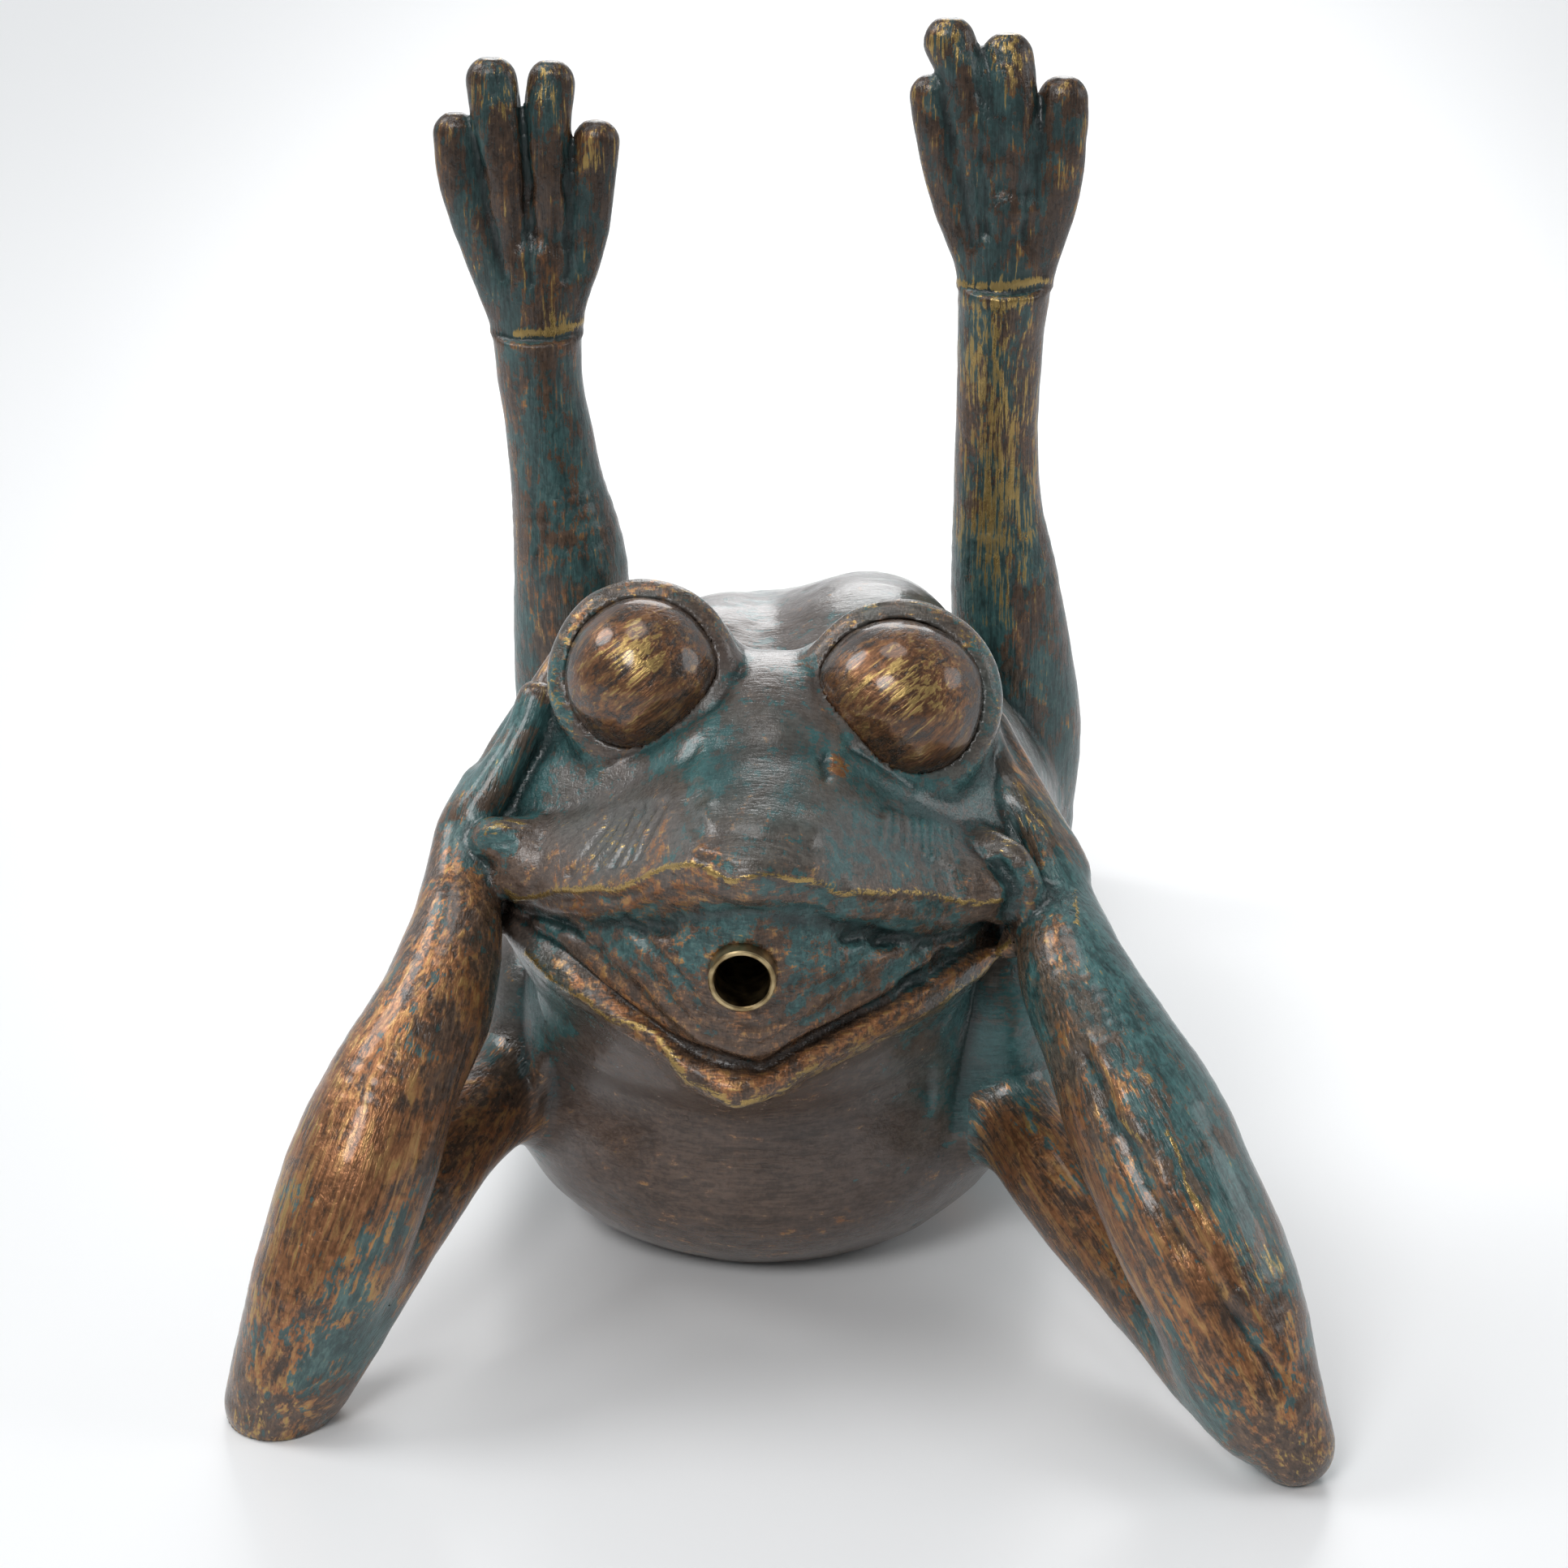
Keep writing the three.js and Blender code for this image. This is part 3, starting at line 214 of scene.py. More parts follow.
# Head: rows of points on half of the face, from the middle to the corner of the mouth
HEAD_AXIS_Y = 45.0
HEAD_AXIS_Z = 85.0
HEAD_LEAN = 0.075  # sideways shift for each millimetre of height
HEAD_LEAN_FROM = 82.0
HEAD_TILT = 0.02  # the frog's left side hangs lower
FACE_ROWS = (
    # behind and under the skull
    ((0, 76, 52), (20, 76, 53), (40, 74, 58), (50, 70, 64)),
    ((0, 40, 36), (15, 40, 37), (30, 40, 41), (42, 41, 49), (50, 43, 58)),
    # throat, chin
    ((0, 14, 45), (12, 15, 46), (25, 19, 49), (38, 26, 55), (48, 36, 62)),
    ((0, 2, 54), (9, 4, 55), (21, 10, 58.5), (35, 20, 62), (46, 34, 67)),
    # lower lip: under edge, outer edge, crest and the groove behind it
    ((0, -7, 58.2), (8, -4.2, 60.2), (13, -1.4, 63.6), (20.5, 3, 65.8), (36, 15.6, 68.6), (46, 28, 72)),
    ((0, -9.6, 59.7), (8, -6.8, 61.8), (13, -3.8, 65.2), (20.5, 0.7, 67.4), (36, 14, 70.3),
     (46, 26.8, 73.6)),
    ((0, -10.2, 62.8), (8, -7.4, 64.6), (13, -4.6, 67.3), (20.5, 0.3, 69.6), (36, 13.6, 73.4),
     (46, 26.6, 75)),
    ((0, -6.5, 65.8), (8, -4, 67.4), (17, 1.8, 70.6), (28, 10.4, 75.2), (35, 17, 77.2), (46, 29.5, 77.6)),
    # mouth plate: lower edge, middle, upper edge
    ((0, -8.9, 69.4), (8, -6.6, 70.6), (17, -0.8, 73), (28, 8.4, 76.8), (35, 15.8, 78.4), (46, 29, 78)),
    ((0, -9.3, 84), (10, -6.8, 83.4), (21, 1, 81.6), (34, 14.4, 79.6), (46, 29, 78.3)),
    ((0, -8.8, 93), (10, -5.6, 90.4), (21, 2.4, 86), (34, 14.8, 80.6), (46, 29, 78.5)),
    # upper lip: crease under it, under edge, outer edge
    ((0, -8, 96.7), (10, -4.2, 93.5), (21, 4, 88), (34, 15.6, 81.2), (46, 29.5, 78.8)),
    ((0, -12.8, 102.5), (10, -8.8, 101), (15, -5.2, 98), (22, 0.2, 93.6), (33, 10.6, 87.4),
     (46, 27.5, 82.2)),
    ((0, -14.4, 106.4), (10, -10.4, 106), (15, -6.8, 102.8), (22, -1, 98.4), (33, 9.6, 92.4),
     (46, 26.4, 86.2)),
    # ledge above the lip, nose, brow and crown
    ((0, -11, 110.4), (10, -7, 109.8), (15, -3.6, 105.8), (22, 1.6, 101), (33, 11.8, 94.6),
     (46, 27.4, 88.6)),
    ((0, 3, 115), (12, 6, 112.4), (24, 13, 104), (38, 23, 95.6), (46, 33, 92)),
    ((0, 18, 118.6), (12, 20, 115.8), (24, 25, 107.4), (38, 31, 98.6), (46, 37, 95)),
    ((0, 46, 124.5), (14, 46, 122), (28, 46, 115), (40, 45, 106), (46, 43, 101)),
    ((0, 62, 117), (14, 62, 115), (28, 60, 109), (40, 56, 101), (46, 50, 97)),
    ((0, 80, 96), (20, 80, 94), (40, 74, 88), (46, 64, 84)),
)
# Where the head's sides end, for angles round its axis: the throat is narrower than the mouth
SIDE_ANGLES = (-180, -55, -30, 180)
SIDE_ENDS = (43.0, 43.0, 53.0, 53.0)
SIDE_ROUNDING = 7.0
HEAD_LOW = np.array([-57.0, -18.0, 30.0])  # corners of a box that holds the head
HEAD_HIGH = np.array([59.0, 92.0, 128.0])
HEAD_BLEND = 9.0
STEEPEST = 3.0  # slope past which the skin's distance is no longer evened


def along_row(row, column, width):
    """A row's place at a half-width, level at the middle of the face."""
    row = np.array(row, float)
    sides = np.concatenate([-row[1:2, 0], row[:, 0]])
    values = np.concatenate([row[1:2, column], row[:, column]])
    return smooth_through(sides, values, width)


def face_table(widths, angles):
    """Distance of the face from the head's axis, for half-widths across and angles round the axis."""
    table = np.empty((len(widths), len(angles)))
    full_turn = 2 * np.pi
    ends = np.interp(np.degrees(angles), SIDE_ANGLES, SIDE_ENDS)
    for i, width in enumerate(widths):
        ahead = np.array([HEAD_AXIS_Y - along_row(row, 1, width) for row in FACE_ROWS])
        above = np.array([along_row(row, 2, width) - HEAD_AXIS_Z for row in FACE_ROWS])
        turn = np.unwrap(np.arctan2(above, ahead))
        turns = np.concatenate([turn - full_turn, turn, turn + full_turn])
        reach = np.tile(np.hypot(above, ahead), 3)
        rounding = np.clip((width - ends + SIDE_ROUNDING) / SIDE_ROUNDING, 0, 1)
        table[i] = smooth_through(turns, reach, angles) * np.sqrt(1 - rounding * rounding)
    return table


def face(piece, blend):
    """The head as a skin round its axis."""
    step_width = 0.5
    step_angle = math.radians(0.5)
    widths = np.arange(0, max(SIDE_ENDS) + step_width, step_width)
    angles = np.arange(-math.pi, math.pi + step_angle, step_angle)
    table = face_table(widths, angles)
    by_width, by_angle = np.gradient(table, step_width, step_angle)

    def distance(points):
        lean = HEAD_LEAN * (points[:, 2] - HEAD_LEAN_FROM)
        side = np.abs(points[:, 0] - lean)
        ahead = HEAD_AXIS_Y - points[:, 1]
        above = points[:, 2] + HEAD_TILT * points[:, 0] - HEAD_AXIS_Z
        reach = np.hypot(ahead, above)
        column = np.minimum(side / step_width, len(widths) - 1.001)
        row = (np.arctan2(above, ahead) + math.pi) / step_angle
        i = column.astype(int)
        j = np.minimum(row.astype(int), len(angles) - 2)
        u = column - i
        v = row - j

        def read(grid):
            near = grid[i, j] * (1 - v) + grid[i, j + 1] * v
            far = grid[i + 1, j] * (1 - v) + grid[i + 1, j + 1] * v
            return near * (1 - u) + far * u

        slope = np.sqrt(1 + read(by_width) ** 2 + (read(by_angle) / np.maximum(reach, 4)) ** 2)
        skin = (reach - read(table)) / np.minimum(slope, STEEPEST)
        return np.maximum(skin, side - max(SIDE_ENDS)).astype(np.float32)

    return Volume(piece, distance, HEAD_LOW, HEAD_HIGH, blend)


# Eyes
EYE_AXIS = np.array([0.0, -0.9, 0.42])
LID_THICKNESS = 2.3
LID_THINNING = 0.55  # how much of its thickness a lid loses on its thin side
LID_BLEND = 4.0
SOCKET_SETBACK = 8.5
SOCKET_MARGIN = 3.0
SOCKET_BLEND = 5.0
POCKET_LESS = 0.5  # the pocket is a little tighter than the ball, so that no gap shows round it


@dataclass
class Eye:
    """Place and radii of an eyeball, the radius of the lid round it and where the lid is thin."""

    centre: np.ndarray
    radii: np.ndarray
    lid: float
    thin: tuple


EYES = {
    "right_eye": Eye(
        centre=np.array([-21.0, 40.0, 121.9]), radii=np.array([14.7, 14.4, 15.0]),
        lid=15.2, thin=(0.62, 0.0, -0.78),
    ),
    "left_eye": Eye(
        centre=np.array([26.2, 40.0, 117.7]), radii=np.array([16.2, 14.6, 15.8]),
        lid=16.3, thin=(-0.8, 0.0, -0.6),
    ),
}


def eye_volumes():
    volumes = []
    for eye in EYES.values():
        socket = eye.centre - EYE_AXIS * SOCKET_SETBACK
        volumes.append(ball("head", socket, eye.radii + SOCKET_MARGIN, SOCKET_BLEND))
        volumes.append(ring("head", eye.centre, EYE_AXIS, eye.lid, LID_THICKNESS, eye.thin, LID_BLEND))
    return volumes


# Torso: centre, radii and blend of each round form
TORSO_FORMS = (
    # chest, neck and the rounds of the right and the left shoulder
    ((0, 62, 29), (52, 46, 36), 1.0),
    ((0, 76, 46), (50, 46, 40), 16.0),
    ((-42, 56, 50), (13, 20, 16), 10.0),
    ((45, 56, 52), (16, 24, 22), 10.0),
    # back, rump and the right and the left hump beside the spine
    ((0, 116, 42), (61, 70, 49), 16.0),
    ((0, 160, 44), (52, 46, 46), 16.0),
    ((-14, 140, 75), (17, 34, 20), 6.0),
    ((19, 140, 81), (20, 36, 20), 12.0),
)


def torso_volumes():
    return [ball("torso", centre, radii, blend) for centre, radii, blend in TORSO_FORMS]


# Arms: photo pixel, depth y and radius of each key
ARMS = {
    "right_upper_arm": (
        (664, 1318, 47, 10), (612, 1350, 35, 9.8), (547, 1417, 17, 9.5), (483, 1514, -1, 9.5),
        (420, 1606, -13, 10.3), (370, 1682, -21, 10.4),
    ),
    "left_upper_arm": (
        (1226, 1340, 46, 10), (1278, 1408, 30.5, 10), (1330, 1480, 18, 10), (1386, 1548, 6.5, 9.7),
        (1440, 1610, -6, 9.5), (1502, 1690, -22, 9), (1550, 1738, -30, 8.5),
    ),
    "right_forearm": (
        (343, 1726, -22, 9.8), (372, 1633, -20, 11.2), (411, 1537, -15, 13.2), (447, 1434, -8, 13.6),
        (487, 1332, 0, 12), (537, 1236, 10, 10.6), (561, 1152, 20, 8.8), (564, 1088, 28, 6.6),
        (571, 1024, 36, 5.2), (598, 973, 42, 5.0),
    ),
    "left_forearm": (
        (1594, 1778, -33, 7.6), (1542, 1691, -28, 12), (1504, 1587, -21, 14), (1457, 1485, -13, 14.6),
        (1413, 1383, -4, 14.3), (1364, 1281, 6, 11.8), (1322, 1196, 16, 10.1), (1308, 1123, 27, 7.1),
        (1296, 1054, 36, 5.4), (1248, 985, 42, 3.8),
    ),
}
# Fingers: photo pixel, depth y and radius of each key
FINGERS = {
    "right_forearm": (
        ((582, 1005, 36, 4.2), (617, 950, 40, 4.0), (645, 903, 44, 3.8), (661, 862, 47, 3.5)),
        ((592, 1000, 42, 4.8), (626, 934, 48, 4.6), (668, 868, 55, 4.2), (706, 800, 60, 3.2)),
    ),
    "left_forearm": (
        ((1300, 1075, 30, 3.6), (1282, 1030, 35, 3.0), (1250, 975, 42, 2.6), (1222, 911, 49, 2.2),
         (1208, 872, 54, 1.8)),
        ((1312, 1075, 34, 4.4), (1280, 1000, 42, 3.4), (1244, 930, 51, 2.8), (1226, 890, 56, 2.2)),
    ),
}
# Legs: x, y, z and radius of each key
LEGS = {
    "right_thigh": ((-28, 150, 54, 22), (-40, 178, 36, 20), (-49, 202, 15, 15)),
    "left_thigh": ((28, 150, 54, 22), (40, 178, 36, 20), (49, 202, 15, 15)),
    "right_shin": (
        (-49.5, 202, 15, 13.5), (-51, 197, 50, 13), (-50.4, 196, 84, 12.8), (-53.6, 198, 106, 10.2),
        (-56.4, 199, 126, 9.4), (-57.1, 200, 140, 10.2),
    ),
    "left_shin": (
        (50, 202, 15, 13.5), (53, 197, 45, 13.2), (48.5, 196, 76, 12.6), (45.8, 197, 102, 9.8),
        (45.4, 198, 126, 9.2), (46.2, 199, 152, 10.2),
    ),
}
LIMB_BLEND = 9.0
SHIN_BLEND = 5.0
HAND_BLEND = 3.0
FINGER_BLEND = 2.0
ANKLE_BLEND = 1.5
TOE_BLEND = 0.9
FOOT_DEPTH = 0.72  # a foot's thickness as a share of its width
HEEL = ((-3, 10), (6, 10.6), (16, 9.5))  # height above the ankle and radius of each key
# Feet: place of the ankle, and x, y, z and radius of each key of a toe
FEET = {
    "right_foot": {
        "ankle": (-57.1, 200, 138),
        "toes": (
            ((-62, 200, 144, 6.5), (-68.6, 200, 160, 5.8), (-73, 201, 173, 5.2), (-74, 202, 182, 4.9)),
            ((-59, 200, 144, 6.5), (-62.4, 199, 166, 5.4), (-64.6, 201, 184, 5.5), (-65.8, 203, 193.4, 5.6)),
            ((-55, 200, 144, 6.5), (-53.6, 199, 166, 5.0), (-53.8, 201, 184, 5.3), (-52.8, 203, 193.2, 5.3)),
            ((-53, 200, 144, 6.5), (-46.4, 200, 160, 5.4), (-44, 201, 173, 5.0), (-43.2, 202, 180.6, 5.1)),
        ),
    },
    "left_foot": {
        "ankle": (46.3, 199, 150.5),
        "toes": (
            ((42, 199, 155, 6.5), (35, 199, 172, 6.0), (31.4, 200, 185, 5.5), (30, 201, 191.6, 5.3)),
            ((45, 199, 155, 6.5), (41, 198, 178, 5.8), (37, 200, 195, 5.5), (33.2, 202, 203.2, 5.8)),
            ((48, 199, 155, 6.5), (48, 198, 178, 6.0), (46.4, 200, 193, 5.7), (45.6, 202, 200, 5.7)),
            ((51, 199, 155, 6.5), (56, 199, 172, 6.2), (57.6, 200, 185, 5.7), (58, 201, 191.2, 5.4)),
        ),
    },
}
TOE_CROWN = 0.92  # how much of its radius a toe's tip keeps


def cut_at(volume, height, keep):
    """A volume that ends at a level plane: keep is 1 for the part below it and -1 for the part above."""
    whole = volume.distance

    def distance(points):
        return np.maximum(whole(points), keep * (points[:, 2] - height))

    return Volume(volume.piece, distance, volume.low, volume.high, volume.blend)


def pixel_limb(piece, keys, blend):
    """A limb through keys of photo pixel, depth y and radius."""
    return limb(piece, [(*at_pixel(across, down, y), radius) for across, down, y, radius in keys], blend)


def limb_volumes():
    upper_arms = ("right_upper_arm", "left_upper_arm")
    volumes = [pixel_limb(piece, ARMS[piece], LIMB_BLEND) for piece in upper_arms]
    volumes += [limb(piece, LEGS[piece], LIMB_BLEND) for piece in ("right_thigh", "left_thigh")]
    for side in ("right", "left"):
        shin = limb(side + "_shin", LEGS[side + "_shin"], SHIN_BLEND)
        volumes.append(cut_at(shin, FEET[side + "_foot"]["ankle"][2], 1))
    return volumes


def hand_volumes():
    volumes = []
    for piece, fingers in FINGERS.items():
        volumes.append(pixel_limb(piece, ARMS[piece], HAND_BLEND))
        volumes += [pixel_limb(piece, finger, FINGER_BLEND) for finger in fingers]
    return volumes


def foot_volumes():
    volumes = []
    for piece, foot in FEET.items():
        x, y, z = foot["ankle"]
        heel = [(x, y, z + height, radius) for height, radius in HEEL]
        volumes.append(cut_at(limb(piece, heel, ANKLE_BLEND, FOOT_DEPTH), z, -1))
        for toe in foot["toes"]:
            *_, tip, radius = toe[-1]
            whole = cut_at(limb(piece, toe, TOE_BLEND, FOOT_DEPTH), z, -1)
            volumes.append(cut_at(whole, tip + TOE_CROWN * radius, 1))
    return volumes


# Folds at the corners of the mouth and one beside the right eye, with keys as the fingers have
FOLDS = (
    ((650, 1040, 29, 5.0), (622, 1036, 28, 4.4), (607, 1032, 29, 4.0)),
    ((660, 1075, 24, 5.0), (634, 1080, 26, 4.0), (624, 1084, 27, 3.4)),
    ((700, 905, 50, 8.0), (684, 905, 52, 7.0)),
    ((1195, 1050, 30, 4.4), (1242, 1056, 25, 3.4), (1266, 1088, 23, 2.7), (1261, 1126, 23, 2.4),
     (1244, 1166, 25, 2.2)),
    ((1180, 1096, 21, 6.0), (1218, 1100, 22, 5.0), (1232, 1110, 23, 4.2)),
)
FOLD_BLEND = 2.5


def fold_volumes():
    return [pixel_limb("head", fold, FOLD_BLEND) for fold in FOLDS]


# Hollows cut into the sculpture: each gives a distance that is negative inside the cut
PLUG_CENTRE_Y = 110.0
PLUG_HALF_WIDTH = 22.4
PLUG_HALF_LENGTH = 33.4
PLUG_DEPTH = 5.2
SPOT_FACE_RADIUS = 13.7
SPOUT_HOLE_END = 30.0
SPOUT_EDGE = 0.25  # chamfer at the tube's tip
FIT = 0.25  # how far the hole is smaller than the tube, so that no gap shows


def eye_pocket(eye):
    return ball("head", eye.centre, eye.radii - POCKET_LESS, 1.0).distance


def spout_hole(points):
    around = np.hypot(points[:, 0], points[:, 2] - SPOUT_HEIGHT) - SPOUT_RADIUS + FIT
    return np.maximum(around, points[:, 1] - SPOUT_HOLE_END)


def inlet_seat(points):
    around = np.hypot(points[:, 0], points[:, 2] - INLET_HEIGHT) - SPOT_FACE_RADIUS
    return np.maximum(around, INLET_SEAT_Y - points[:, 1])


def plug_seat(points):
    oval = np.hypot(points[:, 0] / PLUG_HALF_WIDTH, (points[:, 1] - PLUG_CENTRE_Y) / PLUG_HALF_LENGTH)
    return np.maximum((oval - 1) * PLUG_HALF_WIDTH, points[:, 2] - PLUG_DEPTH)


def cuts():
    return [eye_pocket(eye) for eye in EYES.values()] + [spout_hole, inlet_seat, plug_seat]


# Sculpting

BLOCK = 8  # voxels along a block's side
PIECES = (
    "torso", "head", "right_upper_arm", "left_upper_arm", "right_forearm", "left_forearm",
    "right_thigh", "left_thigh", "right_shin", "left_shin", "right_foot", "left_foot",
)
AIR = 0
MARGIN = 3  # voxels of air round the sculpture
FLOOR_MARGIN = 2.5
COARSE_REACH = 6  # how many blocks away a volume still counts in the coarse and in the fine pass
FINE_REACH = 2
SKIN_REACH = 1.6  # how many blocks from the skin or from a seam the fine pass goes
SEAM_REACH = 2
SEAM_WEIGHT = 1e-4  # what a face inside the sculpture counts for where it meets the outside


def smooth_union(a, b, blend):
    overlap = np.maximum(blend - np.abs(a - b), 0) / blend
    return np.minimum(a, b) - overlap * overlap * blend / 4


def all_volumes():
    volumes = torso_volumes() + limb_volumes()
    volumes.append(face("head", HEAD_BLEND))
    return volumes + eye_volumes() + fold_volumes() + hand_volumes() + foot_volumes()


def sample(volumes, starts, offsets, reach):
    """Distance to the sculpture and number of the nearest piece, at offsets from each start.

    With a single offset, also the distances to the two nearest pieces."""
    shape = (len(starts), len(offsets))
    field = np.full(shape, FAR_AWAY, np.float32)
    best = None
    if len(offsets) == 1:
        best = np.full((len(PIECES) + 1, *shape), FAR_AWAY, np.float32)
    nearest = np.full(shape, FAR_AWAY, np.float32)
    label = np.zeros(shape, np.uint8)
    for volume in volumes:
        pad = volume.blend + reach
        touched = np.all((starts > volume.low - pad) & (starts < volume.high + pad), axis=1)
        if not touched.any():
            continue
        points = (starts[touched][:, None] + offsets[None]).reshape(-1, 3).astype(np.float32)
        gap = volume.distance(points).reshape(-1, len(offsets))
        field[touched] = smooth_union(field[touched], gap, volume.blend)
        number = PIECES.index(volume.piece) + 1
        closer = gap < nearest[touched]
        label[touched] = np.where(closer, number, label[touched])
        nearest[touched] = np.minimum(gap, nearest[touched])
        if best is not None:
            best[number][touched] = np.minimum(best[number][touched], gap)
    points = (starts[:, None] + offsets[None]).reshape(-1, 3).astype(np.float32)
    for cut in cuts():
        field = np.maximum(field, -cut(points).reshape(shape))
    field = np.maximum(field, -points[:, 2].reshape(shape))
    rivals = None if best is None else np.sort(best[1:, :, 0], axis=0)[:2]
    return field, label, rivals


def voxels(step):
    """The sculpture's distance field and piece numbers on a grid, fine only near its surfaces."""
    volumes = all_volumes()
    low = np.min([v.low for v in volumes], axis=0) - MARGIN * step
    low[2] = -FLOOR_MARGIN * step
    high = np.max([v.high for v in volumes], axis=0) + MARGIN * step
    counts = np.ceil((high - low) / (step * BLOCK)).astype(int)
    index = np.stack(np.meshgrid(*[np.arange(n) for n in counts], indexing="ij"), -1).reshape(-1, 3)
    corners = low + index * BLOCK * step
    middle = np.full((1, 3), (BLOCK - 1) / 2 * step)
    reach = BLOCK * step
    coarse, coarse_label, rivals = sample(volumes, corners, middle, COARSE_REACH * reach)
    coarse = coarse[:, 0]
    near_skin = np.abs(coarse) < SKIN_REACH * reach
    near_seam = (coarse < reach) & (rivals[1] - rivals[0] < SEAM_REACH * reach)
    active = near_skin | near_seam
    ticks = np.arange(BLOCK) * step
    offsets = np.stack(np.meshgrid(ticks, ticks, ticks, indexing="ij"), -1).reshape(-1, 3)
    field, label, _ = sample(volumes, corners[active], offsets, FINE_REACH * reach)
    sides = [side for count in counts for side in (count, BLOCK)]

    def spread(values):
        grid = values.reshape(counts)
        for axis in range(3):
            grid = np.repeat(grid, BLOCK, axis)
        return grid

    def write(grid, values):
        blocks = grid.reshape(sides).transpose(0, 2, 4, 1, 3, 5)
        i, j, k = index[active].T
        blocks[i, j, k] = values.reshape(-1, BLOCK, BLOCK, BLOCK)

    grid_field = spread(np.where(coarse > 0, 1, -1).astype(np.float32))
    grid_label = spread(np.where(coarse > 0, AIR, coarse_label[:, 0]).astype(np.uint8))
    write(grid_field, field)
    write(grid_label, np.where(field > 0, AIR, label).astype(np.uint8))
    return grid_field, grid_label, low


def net(field, label):
    """Faces between unlike voxels, with one vertex in each cell that they pass.

    Returns the vertices in voxels, the quads, the piece on each side of a quad, and which vertices
    lie on the outside of the sculpture."""
    shape = np.array(label.shape)
    corners, pairs, places, weights = [], [], [], []
    for axis in range(3):
        below = [slice(None)] * 3
        above = [slice(None)] * 3
        below[axis] = slice(None, -1)
        above[axis] = slice(1, None)
        first, second = label[tuple(below)], label[tuple(above)]
        at = np.argwhere(first != second)
        spot = tuple(at.T)
        a, b = field[tuple(below)][spot], field[tuple(above)][spot]
        pair = np.stack([first[spot], second[spot]], 1)
        outside = (pair == AIR).any(1)
        share = np.where(outside, np.clip(a / np.where(a == b, 1, a - b), 0.02, 0.98), 0.5)
        place = at.astype(float)
        place[:, axis] += share
        u, v = (axis + 1) % 3, (axis + 2) % 3
        cells = np.repeat(at[:, None], 4, axis=1)
        for corner, (du, dv) in enumerate(((-1, -1), (0, -1), (0, 0), (-1, 0))):
            cells[:, corner, u] += du
            cells[:, corner, v] += dv
        corners.append(np.ravel_multi_index(cells.reshape(-1, 3).T, shape).reshape(-1, 4))
        pairs.append(pair)
        places.append(place)
        weights.append(np.where(outside, 1.0, SEAM_WEIGHT))
    corners = np.concatenate(corners)
    pairs = np.concatenate(pairs)
    places = np.concatenate(places)
    weights = np.concatenate(weights)
    _, quads = np.unique(corners, return_inverse=True)
    quads = quads.reshape(-1, 4)
    count = quads.max() + 1
    total = np.bincount(quads.ravel(), np.repeat(weights, 4), count)
    weighted = np.repeat(places * weights[:, None], 4, axis=0)
    columns = [np.bincount(quads.ravel(), weighted[:, k], count) / total for k in range(3)]
    return np.stack(columns, 1), quads, pairs, total > 0.5


def read_field(field, points):
    """The field and its slope at points given in voxels."""
    base = np.clip(points.astype(int), 0, np.array(field.shape) - 2)
    t = points - base
    i, j, k = base.T
    value = 0.0
    slope = np.zeros_like(points)
    for di in (0, 1):
        for dj in (0, 1):
            for dk in (0, 1):
                corner = field[i + di, j + dj, k + dk]
                share = [t[:, n] if d else 1 - t[:, n] for n, d in enumerate((di, dj, dk))]
                value = value + corner * share[0] * share[1] * share[2]
                slope[:, 0] += corner * (2 * di - 1) * share[1] * share[2]
                slope[:, 1] += corner * (2 * dj - 1) * share[0] * share[2]
                slope[:, 2] += corner * (2 * dk - 1) * share[0] * share[1]
    return value, slope


def neighbours(quads):
    """Both ends of each quad's sides, in both directions."""
    ends = np.roll(quads, -1, axis=1)
    return np.concatenate([quads.ravel(), ends.ravel()]), np.concatenate([ends.ravel(), quads.ravel()])


def averaged(values, links, rounds):
    """Values evened out over linked vertices."""
    start, end = links
    count = np.bincount(start, minlength=len(values))
    linked = count > 0
    values = values.copy()
    for _ in range(rounds):
        columns = [np.bincount(start, values[end, k], len(values)) for k in range(values.shape[1])]
        values[linked] = np.stack(columns, 1)[linked] / count[linked, None]
    return values


def vertex_normals(points, quads):
    a, b, c, d = (points[quads[:, k]] for k in range(4))
    faces = np.cross(c - a, d - b)
    normal = np.stack(
        [np.bincount(quads.ravel(), np.repeat(faces[:, k], 4), len(points)) for k in range(3)], 1
    )
    return normal / np.maximum(np.linalg.norm(normal, axis=1, keepdims=True), 1e-9)


def lattice_noise(points, size, seed):
    """Smooth noise from -1 to 1 with lumps of a size in millimetres."""
    scaled = points / size + seed * 17.31
    base = np.floor(scaled).astype(np.int64)
    t = scaled - base
    t = t * t * (3 - 2 * t)
    total = 0.0
    for corner in np.ndindex(2, 2, 2):
        x, y, z = (base + corner).T
        mixed = (x * 73856093) ^ (y * 19349663) ^ (z * 83492791) ^ (seed * 2654435761)
        mixed = (mixed ^ (mixed >> 13)) * 1274126177
        value = ((mixed ^ (mixed >> 16)) & 0xFFFF) / 32767.5 - 1
        share = np.prod(np.where(corner, t, 1 - t), axis=1)
        total = total + value * share
    return total


def lumps(points, kinds):
    """Height of lumps, given as the height, size and seed of each kind."""
    return sum(height * lattice_noise(points, size, seed) for height, size, seed in kinds)


# Hand work on the surface: strokes in photo pixels, with a width and a lift in millimetres
@dataclass
class Stroke:
    """A line drawn on one casting as the photo shows it: a ridge, or a groove where lift is negative."""

    piece: str
    line: tuple
    width: float
    lift: float
    paint: tuple = ()


